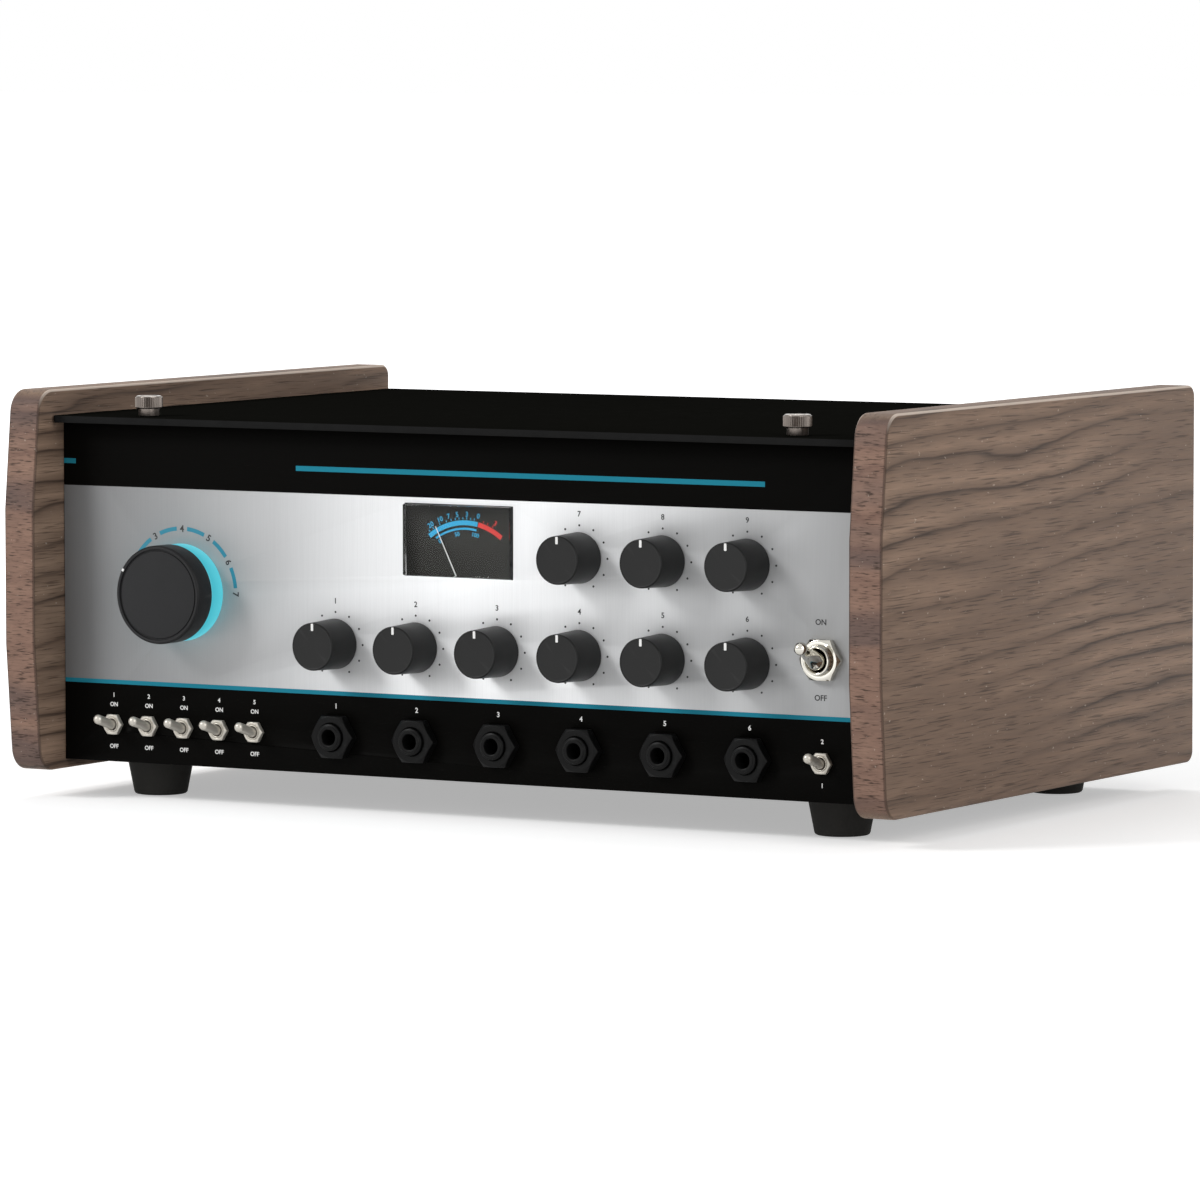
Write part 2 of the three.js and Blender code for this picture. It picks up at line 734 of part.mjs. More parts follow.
// One board carries all nine potentiometers
function controlBoard() {
  const boardY = panelBackY + potDeep;
  const left = knobLowXs[0] - potWide / 2 - boardMargin;
  const step = knobHighXs[0] - potWide / 2 - boardMargin;
  const right = knobLowXs.at(-1) + potWide / 2 + boardMargin;
  const low = knobLowZ - potTall / 2 - boardMargin;
  const middle = knobLowZ + potTall / 2 + boardMargin;
  const high = knobHighZ + potTall / 2 + boardMargin;
  const board = outline([[left, low, 0], [right, low, 0], [right, high, 0], [step, high, 0],
    [step, middle, 0], [left, middle, 0]]);
  const plate = extruded(board, boardThick, straight).applyMatrix4(frontOutline)
    .translate(0, boardY + boardThick, 0);
  const pots = knobPlaces.flatMap(({ x, z }) => [
    block(x - potWide / 2, x + potWide / 2, panelBackY, boardY + boardThick / 2,
      z - potTall / 2, z + potTall / 2),
    rodY(potBushRadius, panelY - potBushNose, panelBackY + boardThick, x, z, small),
  ]);
  const bores = knobPlaces.map(({ x, z }) =>
    rodY(shaftRadius + boreGap, panelY - potBushNose - overrun, panelBackY + potBoreDepth, x, z, small));
  return cut(join(plate, ...pots), ...bores);
}

add("control_board", controlBoard(), boardGreen);

// Mode selector: knob, light ring behind it
function modeKnob() {
  const back = -ringThick - fitGap;
  const front = back - modeKnobThick;
  const shaftEnd = panelThick + potBoreDepth - fitGap;
  const disc = modeKnobRadius - modeRimWide;
  return turnedY([
    [0, front + modeFaceSink], [disc, front + modeFaceSink], [disc, front],
    [modeKnobRadius - modeEdge, front], [modeKnobRadius, front + modeEdge], [modeKnobRadius, back],
    [shaftRadius, back], [shaftRadius, shaftEnd], [0, shaftEnd],
  ], fine);
}

function lightRing() {
  const hole = modeNutFlats / Math.sqrt(3) + ringNutGap;
  return turnedY([
    [hole, -ringThick], [ringRadius, -ringThick], [ringRadius, 0], [hole, 0], [hole, -ringThick],
  ], fine);
}

add("mode_knob", modeKnob(), knobBlack, modeX, panelY, modeZ);
add("light_ring", lightRing(), glow, modeX, panelY, modeZ);

// A toggle's body, bush and nut, with the bore that its lever rocks in
function toggleParts(x, z) {
  const nose = panelY - toggleNutThick;
  return {
    solids: [
      block(x - toggleBodyWide / 2, x + toggleBodyWide / 2, panelBackY, panelBackY + toggleBodyDeep,
        z - toggleBodyTall / 2, z + toggleBodyTall / 2),
      rodY(toggleBushRadius, nose, panelBackY + overrun, x, z, small),
      hexNut(toggleNutFlats, panelY, toggleNutThick, x, z),
    ],
    bore: rodY(toggleBoreRadius, nose - overrun, panelY + toggleBoreDepth, x, z, small),
  };
}

// The left board carries the five toggles and the rotary switch
function leftBoard() {
  const toggles = toggleXs.map((x) => toggleParts(x, lowRowZ));
  const boardY = panelBackY + toggleBodyDeep;
  const left = toggleXs[0] - toggleBodyWide / 2 - boardMargin;
  const right = toggleXs.at(-1) + toggleBodyWide / 2 + boardMargin;
  const low = lowRowZ - toggleBodyTall / 2;
  const high = modeZ + modeBodyRadius + boardMargin;
  const body = join(
    block(left, right, boardY, boardY + boardThick, low, high),
    rodY(modeBodyRadius, panelBackY, panelBackY + modeBodyDeep, modeX, modeZ, medium),
    rodY(potBushRadius, panelY - modeBushNose, panelBackY + overrun, modeX, modeZ, small),
    hexNut(modeNutFlats, panelY, modeNutThick, modeX, modeZ),
    ...toggles.flatMap((toggle) => toggle.solids),
  );
  const modeBore = rodY(shaftRadius + boreGap, panelY - modeBushNose - overrun,
    panelBackY + potBoreDepth, modeX, modeZ, small);
  return cut(body, modeBore, ...toggles.map((toggle) => toggle.bore));
}

add("left_board", leftBoard(), plasticBlack);

const levelSwitch = toggleParts(rightX, lowRowZ);
add("level_switch", cut(join(...levelSwitch.solids), levelSwitch.bore), plasticBlack);

// Mini levers: a ball at the pivot, a stout round bat outside, a thin tail inside
function miniLever() {
  const arc = (radius, centre, from, to, count) => Array.from({ length: count + 1 }, (_, i) => {
    const angle = from + (to - from) * (i / count);
    return [Math.max(0, radius * Math.cos(angle)), centre + radius * Math.sin(angle)];
  });
  const neck = Math.acos(leverNeckRadius / leverBallRadius);
  const tail = Math.acos(leverTailRadius / leverBallRadius);
  return turnedY([
    ...arc(leverTipRadius, -leverLength, -Math.PI / 2, 0, 2),
    ...arc(leverBallRadius, 0, -neck, tail, 3),
    [leverTailRadius, leverTailLength], [0, leverTailLength],
  ], small);
}

const leverPivotY = panelY - toggleNutThick;
const leverPlaces = [
  ...toggleXs.map((x, i) => ({ name: `toggle_lever_${i + 1}`, x })),
  { name: "level_lever", x: rightX },
];
leverPlaces.forEach(({ name, x }) => {
  const lever = add(name, miniLever(), nickel, x, leverPivotY, lowRowZ);
  lever.rotation.x = THREE.MathUtils.degToRad(-toggleTilt);
});

// Power switch and its ball-ended lever
function powerSwitch() {
  const nose = panelY - powerBushNose;
  const body = join(
    block(rightX - powerBodyWide / 2, rightX + powerBodyWide / 2, panelBackY, panelBackY + powerBodyDeep,
      powerZ - powerBodyTall / 2, powerZ + powerBodyTall / 2),
    rodY(powerBushRadius, nose, panelBackY + overrun, rightX, powerZ, medium),
    hexNut(powerNutFlats, panelY, powerNutThick, rightX, powerZ),
  );
  const bore = rodY(powerBoreRadius, nose - overrun, panelY + powerBoreDepth, rightX, powerZ, medium);
  return cut(body, bore);
}

function powerLever() {
  const ball = new THREE.SphereGeometry(powerBallRadius, coarse, coarse / 2);
  const root = new THREE.SphereGeometry(powerRootRadius, coarse, coarse / 2);
  const stem = turnedY([
    [0, -powerLength], [powerNeckRadius, -powerLength], [powerConeRadius, -powerPivotSink],
    [powerConeRadius, 0], [powerTailRadius, 0], [powerTailRadius, powerRootRadius + powerTailLength],
    [0, powerRootRadius + powerTailLength],
  ], coarse);
  return join(ball.translate(0, -powerLength, 0), root, stem);
}

add("power_switch", powerSwitch(), nickel);
const powerPivotY = panelY - powerBushNose + powerPivotSink;
const mainsLever = add("power_lever", powerLever(), nickel, rightX, powerPivotY, powerZ);
mainsLever.rotation.x = THREE.MathUtils.degToRad(-powerTilt);

// Sockets: hexagon nut and bush in front, body behind, one bore for the plug
function jack() {
  const half = jackBodyWide / 2;
  const body = join(
    block(-half, half, panelThick, panelThick + jackBodyDeep, -half, half),
    rodY(jackBushRadius, -jackBushNose, panelThick + overrun, 0, 0, coarse),
    hexNut(jackNutFlats, 0, jackNutThick, 0, 0),
  );
  return cut(body, rodY(jackBoreRadius, -jackBushNose - overrun, jackBoreDepth, 0, 0, coarse));
}

jackXs.forEach((x, i) => add(`jack_${i + 1}`, jack(), plasticBlack, x, panelY, lowRowZ));

// Level meter: case with a dial pocket, clear window, needle on its pin
const dialY = panelBackY + pocketDeep;

function meterCase() {
  const left = meterX - windowWide / 2 - meterRim;
  const right = meterX + windowWide / 2 + meterRim;
  const high = meterZ + windowTall / 2 + meterRim;
  const shell = join(
    block(left, right, panelBackY, panelBackY + meterDeep, meterLow, high),
    rodY(coilRadius, panelBackY + meterDeep / 2, panelBackY + meterDeep + coilDeep,
      meterX, needleZ + coilRadius, medium),
  );
  const pocket = block(left + meterRim / 2, right - meterRim / 2, panelBackY - overrun, dialY,
    meterLow + meterRim, high - meterRim / 2);
  const pin = rodY(needlePinRadius, panelBackY + fitGap, dialY + overrun, meterX, needleZ, small);
  return join(cut(shell, pocket), pin);
}

add("meter_case", meterCase(), dialFace);

const pane = rectangle(-windowWide / 2, windowWide / 2, -windowTall / 2, windowTall / 2);
const windowBlock = extruded(pane, windowProud + panelThick, straight, windowEdge);
add("meter_window", windowBlock.applyMatrix4(frontOutline), clear, meterX, panelBackY - fitGap, meterZ);

function needle() {
  const half = needleThick / 2;
  const hub = rodY(needleHubRadius, -half, half, 0, 0, small);
  const hand = block(-needleWide / 2, needleWide / 2, -half, half, -needleTail, needleLength);
  return cut(join(hub, hand), rodY(needlePinRadius + boreGap, -overrun, overrun, 0, 0, small));
}

const needlePlaneY = panelBackY + pocketDeep / 2;
const pointer = add("meter_needle", needle(), white, meterX, needlePlaneY, needleZ);
pointer.rotation.y = THREE.MathUtils.degToRad(-needleLean);

// Deck: plate on the ledges, with the tape bin, bearing, guides and pinch post
const binRight = guideX - binGuideGap;
const binLeft = -binRight;
const binY0 = headBlockFront + headBlockDeep + binHeadGap;
const binY1 = rearY - sheet - binRearGap;
const binTop = deckTop + binHeight;
const guideY = tapeY + tapeThick / 2 + fitGap + guideRadius;
const rollerZ = tapeZ - pinchTall / 2;
const bearingTop = rollerZ - bearingRollerGap;
const pinchPostX = capstanX + pinchPivotRight;
const pinchPostY = pinchY - pinchPivotFront;

function guide(x) {
  const low = tapeZ - tapeWide / 2 - fitGap;
  const top = tapeZ + tapeWide / 2 + fitGap;
  return turnedZ([
    [0, deckUnder], [guideRadius + guideFlange, deckUnder],
    [guideRadius + guideFlange, low], [guideRadius, low],
    [guideRadius, top], [guideRadius + guideFlange, top],
    [guideRadius + guideFlange, top + guideFlangeThick], [0, top + guideFlangeThick],
  ], coarse).translate(x, guideY, 0);
}

function deck() {
  const halfWide = innerX - sheet - deckSideGap;
  const plate = block(-halfWide, halfWide, deckY, rearY - sheet - deckSideGap, deckUnder, deckTop);
  const outside = rectangle(binLeft, binRight, binY0, binY1, binCorner);
  const inside = rectangle(binLeft + binWall, binRight - binWall, binY0 + binWall, binY1 - binWall,
    binCorner - binWall);
  const outer = extruded(outside, binHeight, cornerSteps);
  const inner = extruded(inside, binHeight + overrun, cornerSteps);
  const wall = cut(outer.translate(0, 0, deckTop), inner.translate(0, 0, deckTop));
  const mouths = [binLeft, binRight].map((x) => block(x - binCorner, x + binCorner,
    binY0 + binCorner, binY0 + binCorner + binMouth, deckTop, binTop + overrun));
  const postTop = deckTop + armLift + armHubTall + pinchPostRise;
  const body = join(
    plate,
    cut(wall, ...mouths),
    rodZ(bearingRadius, deckUnder - bearingBelow, bearingTop, capstanX, capstanY, medium),
    guide(-guideX),
    guide(guideX),
    rodZ(pinchPostRadius, deckUnder, postTop, pinchPostX, pinchPostY, coarse),
  );
  return cut(body, rodZ(capstanRadius + boreGap, deckUnder - bearingBelow - overrun,
    bearingTop + overrun, capstanX, capstanY, coarse));
}

add("deck_plate", deck(), zinc);

const coverShape = rectangle(binLeft - coverLip, binRight + coverLip, binY0 - coverLip, binY1 + coverLip,
  binCorner + coverLip);
add("tape_cover", extruded(coverShape, coverThick, cornerSteps), clear, 0, 0, binTop);

// Tape: one endless ribbon, along the heads, round both guides and folded in the bin
function tapeLine() {
  const wrap = guideRadius + fitGap + tapeThick / 2;
  const mouthLow = binY0 + binCorner;
  const mouthY = mouthLow + binMouth / 2;
  const foldX = binRight - foldInset;
  const turn = foldX / (foldShares.length + 1); // radius of a fold
  const outX = guideX + wrap;
  const path = new THREE.Path();
  path.moveTo(-guideX, tapeY);
  path.lineTo(guideX, tapeY);
  path.absarc(guideX, guideY, wrap, -Math.PI / 2, 0, false);
  path.lineTo(outX, mouthLow);
  path.quadraticCurveTo(outX, mouthY, foldX, mouthY);
  path.absarc(foldX, mouthY + turn, turn, -Math.PI / 2, -Math.PI, true);
  const clear = binWall + foldGap + turn;
  foldShares.forEach((share, i) => {
    const y = THREE.MathUtils.lerp(binY0 + clear, binY1 - clear, share);
    path.absarc(foldX - 2 * turn * (i + 1), y, turn, 0, Math.PI, i % 2 === 1);
  });
  path.absarc(-foldX, mouthY + turn, turn, 0, -Math.PI / 2, true);
  path.quadraticCurveTo(-outX, mouthY, -outX, mouthLow);
  path.lineTo(-outX, guideY);
  path.absarc(-guideX, guideY, wrap, Math.PI, (3 * Math.PI) / 2, false);
  return path;
}

// A flat band that follows a closed line, from the line's points and its thickness
function band(points, thick, wide) {
  const count = points.length;
  const side = (sign) => points.map((point, i) => {
    const along = points[(i + 1) % count].clone().sub(points[(i + count - 1) % count]).normalize();
    return new THREE.Vector2(point.x - along.y * sign * thick / 2, point.y + along.x * sign * thick / 2);
  });
  const shape = new THREE.Shape(side(-1));
  shape.holes.push(new THREE.Path(side(1)));
  return extruded(shape, wide, straight);
}

const tapePoints = tapeLine().getPoints(cornerSteps).filter((point, i, all) =>
  point.distanceTo(all.at(i - 1)) > tapeThick);
add("tape_loop", band(tapePoints, tapeThick, tapeWide), tapeBrown, 0, 0, tapeZ - tapeWide / 2);

// Heads on their block
const headXs = headShares.map((share) => share * guideX);
function headBlock() {
  const left = headXs[0] - headBlockMargin;
  const right = headXs.at(-1) + headBlockMargin;
  const plan = rectangle(left, right, headBlockFront, headBlockFront + headBlockDeep);
  return extruded(plan, headBlockTall, straight, headBlockEdge);
}

function head() {
  const half = headWide / 2;
  const nose = tapeThick / 2 + fitGap;
  const bulge = headNoseRadius - Math.sqrt(headNoseRadius ** 2 - half ** 2);
  const angle = Math.asin(half / headNoseRadius);
  const shape = new THREE.Shape();
  shape.moveTo(half, nose + bulge);
  shape.lineTo(half, nose + headDeep);
  shape.lineTo(-half, nose + headDeep);
  shape.lineTo(-half, nose + bulge);
  const middle = -Math.PI / 2;
  shape.absarc(0, nose + headNoseRadius, headNoseRadius, middle - angle, middle + angle, false);
  return extruded(shape, headTall, cornerSteps + 1);
}

add("head_block", headBlock(), aluminium, 0, 0, deckTop);
headNames.forEach((name, i) =>
  add(name, head(), nickel, headXs[i], tapeY, deckTop + headBlockTall));

// Capstan with its flywheel
const flywheelLow = flywheelTop - flywheelThick;
function capstan() {
  const sink = (flywheelThick - flywheelWeb) / 2;
  const rimInner = flywheelRadius - flywheelRim;
  return turnedZ([
    [0, flywheelLow], [hubRadius, flywheelLow], [hubRadius, flywheelLow + sink],
    [rimInner, flywheelLow + sink], [rimInner, flywheelLow], [flywheelRadius, flywheelLow],
    [flywheelRadius, flywheelTop], [rimInner, flywheelTop], [rimInner, flywheelTop - sink],
    [hubRadius, flywheelTop - sink], [hubRadius, flywheelTop + hubRise],
    [capstanRadius, flywheelTop + hubRise], [capstanRadius, deckTop + capstanAbove],
    [0, deckTop + capstanAbove],
  ], fine);
}

add("capstan_flywheel", capstan(), brass, capstanX, capstanY);

// Motor hung from the deck on three posts, with a pulley in the flywheel's plane
const beltZ = (flywheelLow + flywheelTop) / 2;
const motorTop = deckUnder - motorPostLength;
function motor() {
  const posts = row(motorPostCount, 0, 1).map((i) => {
    const angle = (i / motorPostCount) * 2 * Math.PI;
    return rodZ(motorPostRadius, motorTop - motorFlangeThick / 2, deckUnder,
      motorPostReach * Math.cos(angle), motorPostReach * Math.sin(angle), small);
  });
  const body = join(
    rodZ(motorRadius, motorTop - motorTall, motorTop - motorFlangeThick / 2, 0, 0, medium),
    rodZ(motorPostReach + motorPostRadius, motorTop - motorFlangeThick, motorTop, 0, 0, medium),
    ...posts,
  );
  return cut(body, rodZ(pulleyShaftRadius + boreGap, motorTop - pulleyShaftLength - fitGap,
    motorTop + overrun, 0, 0, small));
}

function pulley() {
  const half = beltWide / 2 + fitGap;
  const lip = pulleyRadius + pulleyLip;
  return turnedZ([
    [0, motorTop - pulleyShaftLength], [pulleyShaftRadius, motorTop - pulleyShaftLength],
    [pulleyShaftRadius, beltZ - half - pulleyLipThick], [lip, beltZ - half - pulleyLipThick],
    [lip, beltZ - half], [pulleyRadius, beltZ - half], [pulleyRadius, beltZ + half],
    [lip, beltZ + half], [lip, beltZ + half + pulleyLipThick], [0, beltZ + half + pulleyLipThick],
  ], coarse);
}

add("drive_motor", motor(), zinc, motorX, capstanY);
add("motor_pulley", pulley(), brass, motorX, capstanY);

function belt() {
  const big = flywheelRadius + fitGap + beltThick / 2;
  const little = pulleyRadius + fitGap + beltThick / 2;
  const lean = Math.acos((big - little) / (capstanX - motorX));
  const path = new THREE.Path();
  path.absarc(capstanX, capstanY, big, lean - Math.PI, Math.PI - lean, false);
  path.absarc(motorX, capstanY, little, Math.PI - lean, Math.PI + lean, false);
  const points = path.getPoints(small).filter((point, i, all) =>
    point.distanceTo(all.at(i - 1)) > beltThick);
  return band(points, beltThick, beltWide);
}

add("drive_belt", belt(), rubber, 0, 0, beltZ - beltWide / 2);

// Pinch roller on its arm, which swings on the post
const armZ = deckTop + armLift;
function pinchArm() {
  const body = join(
    rodZ(armHubRadius, 0, armHubTall, 0, 0, coarse),
    rodZ(armBossRadius, 0, rollerZ - armZ - fitGap, -pinchPivotRight, pinchPivotFront, coarse),
    block(-pinchPivotRight, 0, -armBossRadius, armBossRadius + pinchPivotFront, 0, armThick),
    rodZ(pinchPinRadius, 0, rollerZ - armZ + pinchTall + fitGap, -pinchPivotRight, pinchPivotFront,
      small),
  );
  return cut(body, rodZ(pinchPostRadius + boreGap, -overrun, armHubTall + overrun, 0, 0, coarse));
}

add("pinch_arm", pinchArm(), zinc, pinchPostX, pinchPostY, armZ);
const roller = turnedZ([
  [pinchSleeve, 0], [pinchRadius, 0], [pinchRadius, pinchTall], [pinchSleeve, pinchTall],
  [pinchSleeve, 0],
], medium);
add("pinch_roller", roller, rubber, capstanX, pinchY, rollerZ);

// Main board on standoffs, with capacitors, heat sink and the mains inlet
function mainBoard() {
  const front = panelY + mainFront;
  const back = rearY - sheet - mainBackGap;
  const boardZ = floorTop + standoff;
  const top = boardZ + boardThick;
  const legs = [mainLeft + standoffInset, mainRight - standoffInset].flatMap((x) =>
    [front + standoffInset, back - standoffInset].map((y) =>
      rodZ(standoffRadius, floorTop, top, x, y, small)));
  const cans = row(canCount, mainLeft + canInset, canPitch).map((x) =>
    rodZ(canRadius, boardZ, top + canTall, x, front + canBehind, small));
  const sinkX = mainRight - sinkInset;
  const finPitch = sinkWide / (finCount - 1 + finShare);
  const fins = row(finCount, sinkX - sinkWide / 2, finPitch).map((x) => block(x, x + finPitch * finShare,
    front + sinkBehind, front + sinkBehind + sinkDeep, boardZ, top + sinkTall));
  const spine = block(sinkX - sinkWide / 2, sinkX + sinkWide / 2, front + sinkBehind,
    front + sinkBehind + sinkSpine, boardZ, top + sinkTall);
  const inletBack = rearY - inletDeep;
  const inletBody = [
    block(inletX - inletWide / 2, inletX + inletWide / 2, inletBack, rearY + inletFlangeThick / 2,
      inletZ - inletTall / 2, inletZ + inletTall / 2),
    block(inletX - inletFlangeWide / 2, inletX + inletFlangeWide / 2, rearY, rearY + inletFlangeThick,
      inletZ - inletFlangeTall / 2, inletZ + inletFlangeTall / 2),
    block(inletX - inletWide / 2, inletX + inletWide / 2, inletBack, back, boardZ, inletZ),
  ];
  const mouth = block(inletX - inletMouthWide / 2, inletX + inletMouthWide / 2,
    rearY + inletFlangeThick - inletMouthDeep, rearY + inletFlangeThick + overrun,
    inletZ - inletMouthTall / 2, inletZ + inletMouthTall / 2);
  const mouthBack = rearY + inletFlangeThick - inletMouthDeep;
  const prongs = row(prongCount, inletX - prongPitch, prongPitch).map((x) =>
    block(x - prongWide / 2, x + prongWide / 2, mouthBack - overrun, mouthBack + prongLength,
      inletZ - prongDrop - prongTall / 2, inletZ - prongDrop + prongTall / 2));
  const housed = cut(join(...inletBody), mouth);
  const plate = block(mainLeft, mainRight, front, back, boardZ, top);
  return join(plate, ...legs, ...cans, ...fins, spine, housed, ...prongs);
}

add("main_board", mainBoard(), boardGreen);

// Ring-core transformer, with its clamping cap and the bolt through it
function transformer() {
  const centre = (coreRadius + coreHole) / 2;
  const half = (coreRadius - coreHole) / 2;
  const tall = coreTall / 2;
  const ring = outline([[centre - half, -tall, coreRound], [centre + half, -tall, coreRound],
    [centre + half, tall, coreRound], [centre - half, tall, coreRound]]).getPoints(cornerSteps - 1);
  ring.push(ring[0].clone());
  const core = new THREE.LatheGeometry(ring, medium).rotateX(Math.PI / 2).translate(0, 0, tall);
  return join(
    core,
    rodZ(coreHole + coreRound, 0, coreTall, 0, 0, medium),
    rodZ(coreCapRadius, coreTall - overrun, coreTall + coreCapThick, 0, 0, medium),
    rodZ(coreBoltRadius, 0, coreTall + coreCapThick + coreBoltRise, 0, 0, small),
  );
}

add("transformer", transformer(), winding, coreX, rearY - coreAhead, floorTop);

export default echoUnit;
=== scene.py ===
import json
import math
import bmesh
import bpy
from mathutils import Matrix, Vector


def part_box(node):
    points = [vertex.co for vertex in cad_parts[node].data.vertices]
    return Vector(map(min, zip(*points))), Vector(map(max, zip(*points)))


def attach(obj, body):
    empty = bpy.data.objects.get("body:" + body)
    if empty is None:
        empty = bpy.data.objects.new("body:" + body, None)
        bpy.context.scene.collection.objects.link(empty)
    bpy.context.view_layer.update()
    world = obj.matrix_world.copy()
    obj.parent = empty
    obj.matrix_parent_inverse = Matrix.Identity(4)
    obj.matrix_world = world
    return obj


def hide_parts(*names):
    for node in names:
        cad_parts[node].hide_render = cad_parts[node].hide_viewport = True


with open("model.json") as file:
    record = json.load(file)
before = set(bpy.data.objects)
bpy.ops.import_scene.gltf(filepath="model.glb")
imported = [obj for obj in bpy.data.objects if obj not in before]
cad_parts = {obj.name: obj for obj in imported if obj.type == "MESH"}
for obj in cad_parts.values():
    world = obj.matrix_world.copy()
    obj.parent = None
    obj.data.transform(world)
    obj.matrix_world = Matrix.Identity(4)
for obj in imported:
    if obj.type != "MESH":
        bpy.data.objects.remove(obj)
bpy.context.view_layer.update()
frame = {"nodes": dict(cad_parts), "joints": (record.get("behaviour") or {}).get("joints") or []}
scene = bpy.context.scene
mm = 0.001  # sizes below are millimetres, meshes are metres


# Places taken from the frame, in millimetres
def corners(node):
    low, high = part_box(node)
    return low / mm, high / mm


def centre(node):
    low, high = corners(node)
    return (low + high) / 2


def pivot(name):
    return Vector(next(joint["pos_m"] for joint in frame["joints"] if joint["name"] == name)) / mm


panelLow, panelHigh = corners("front_panel")
panelY = panelLow.y
deckTop = corners("head_block")[0].z
clearance = 0.3  # what the solids keep between pieces that touch

# Camera where the photograph was taken
camera = dict(place=(1537.49, -2650.16, 317.55), turn=0.526, tilt=-0.077, roll=0.001, lens=220.67)
shot = bpy.data.objects.new("camera", bpy.data.cameras.new("camera"))
scene.collection.objects.link(shot)
scene.camera = shot
shot.location = Vector(camera["place"]) * mm
shot.rotation_euler = (math.pi / 2 + camera["tilt"], camera["roll"], camera["turn"])
shot.data.lens = camera["lens"]
shot.data.sensor_width = 36
shot.data.clip_end = 60
scene.view_settings.view_transform = "Standard"

# Studio: white floor and surroundings, a key lamp at the upper left, a fill at the right, one above
studio = dict(floorSize=60, floorLevel=-0.0003, floorColour=0.82, floorLift=0.42, liftNear=0.45, liftFar=1.1,
              worldLevel=0.42)
lamps = [
    dict(name="key", place=(-1.9, -2.1, 1.9), aim=(0, -0.1, 0.08), size=0.9, power=52),
    dict(name="fill", place=(2.4, -1.0, 1.0), aim=(0.1, 0, 0.08), size=1.6, power=26),
    dict(name="top", place=(-0.6, 0.9, 2.2), aim=(0, 0, 0.1), size=1.2, power=14),
]


def addNode(tree, kind, links=None, **settings):
    made = tree.nodes.new(kind)
    for key, value in settings.items():
        setattr(made, key, value)
    for key, value in (links or {}).items():
        if isinstance(value, bpy.types.NodeSocket):
            tree.links.new(value, made.inputs[key])
        else:
            made.inputs[key].default_value = value
    return made


def maths(tree, operation, *values):
    return addNode(tree, "ShaderNodeMath", dict(enumerate(values)), operation=operation).outputs[0]


def seenRays(tree):  # 1 for what the camera sees, also in a reflection or through glass
    path = addNode(tree, "ShaderNodeLightPath").outputs
    seen = maths(tree, "MAXIMUM", path["Is Camera Ray"], path["Is Glossy Ray"])
    return maths(tree, "MAXIMUM", seen, path["Is Transmission Ray"])


def stageMaterial(name, colour, lift):
    made = bpy.data.materials.new(name)
    made.use_nodes = True
    tree = made.node_tree
    tree.nodes.clear()
    out = addNode(tree, "ShaderNodeOutputMaterial")
    matt = addNode(tree, "ShaderNodeBsdfDiffuse", {"Color": (colour, colour, colour, 1)})
    place = addNode(tree, "ShaderNodeTexCoord").outputs["Object"]
    far = addNode(tree, "ShaderNodeVectorMath", {0: place}, operation="LENGTH").outputs["Value"]
    level = addNode(tree, "ShaderNodeMapRange", {"Value": far, "From Min": studio["liftNear"],
                                                 "From Max": studio["liftFar"], "To Min": lift, "To Max": 1.0})
    strength = maths(tree, "MULTIPLY", seenRays(tree), level.outputs[0])
    lifted = addNode(tree, "ShaderNodeEmission", {"Strength": strength})
    both = addNode(tree, "ShaderNodeAddShader", {0: matt.outputs[0], 1: lifted.outputs[0]})
    tree.links.new(both.outputs[0], out.inputs["Surface"])
    return made


def buildStudio():
    half = studio["floorSize"] / 2
    mesh = bpy.data.meshes.new("floor")
    level = studio["floorLevel"]
    mesh.from_pydata([(-half, -half, level), (half, -half, level), (half, half, level), (-half, half, level)],
                     [], [(0, 1, 2, 3)])
    floor = bpy.data.objects.new("floor", mesh)
    scene.collection.objects.link(floor)
    mesh.materials.append(stageMaterial("floorWhite", studio["floorColour"], studio["floorLift"]))
    world = bpy.data.worlds.new("surroundings")
    scene.world = world
    world.use_nodes = True
    tree = world.node_tree
    tree.nodes.clear()
    level = addNode(tree, "ShaderNodeMapRange", {"Value": seenRays(tree), "To Min": studio["worldLevel"],
                                                 "To Max": 1.0})
    sky = addNode(tree, "ShaderNodeBackground", {"Color": (1, 1, 1, 1), "Strength": level.outputs[0]})
    out = addNode(tree, "ShaderNodeOutputWorld")
    tree.links.new(sky.outputs[0], out.inputs["Surface"])
    for lamp in lamps:
        light = bpy.data.lights.new(lamp["name"], "AREA")
        light.size = lamp["size"]
        light.energy = lamp["power"]
        holder = bpy.data.objects.new(lamp["name"], light)
        scene.collection.objects.link(holder)
        holder.location = lamp["place"]
        aim = Vector(lamp["aim"]) - Vector(lamp["place"])
        holder.rotation_euler = aim.to_track_quat("-Z", "Y").to_euler()


buildStudio()
print("studio ready")


# Shader groups that several materials share
def tone(red, green, blue):  # display values 0 to 255, as a linear colour
    def linear(value):
        share = value / 255
        return share / 12.92 if share <= 0.04045 else ((share + 0.055) / 1.055) ** 2.4
    return (linear(red), linear(green), linear(blue), 1)


def addInputs(tree, inputs):
    for label, kind, value in inputs:
        socket = tree.interface.new_socket(name=label, in_out="INPUT", socket_type="NodeSocket" + kind)
        if value is not None:
            socket.default_value = value


def newGroup(name, inputs, outputs):
    group = bpy.data.node_groups.new(name, "ShaderNodeTree")
    addInputs(group, inputs)
    for label, kind in outputs:
        group.interface.new_socket(name=label, in_out="OUTPUT", socket_type="NodeSocket" + kind)
    return group, group.nodes.new("NodeGroupInput").outputs, group.nodes.new("NodeGroupOutput").inputs


def noise(tree, vector, scale, detail=3.0, rough=0.5):
    return addNode(tree, "ShaderNodeTexNoise", {"Vector": vector, "Scale": scale, "Detail": detail,
                                               "Roughness": rough}).outputs["Fac"]


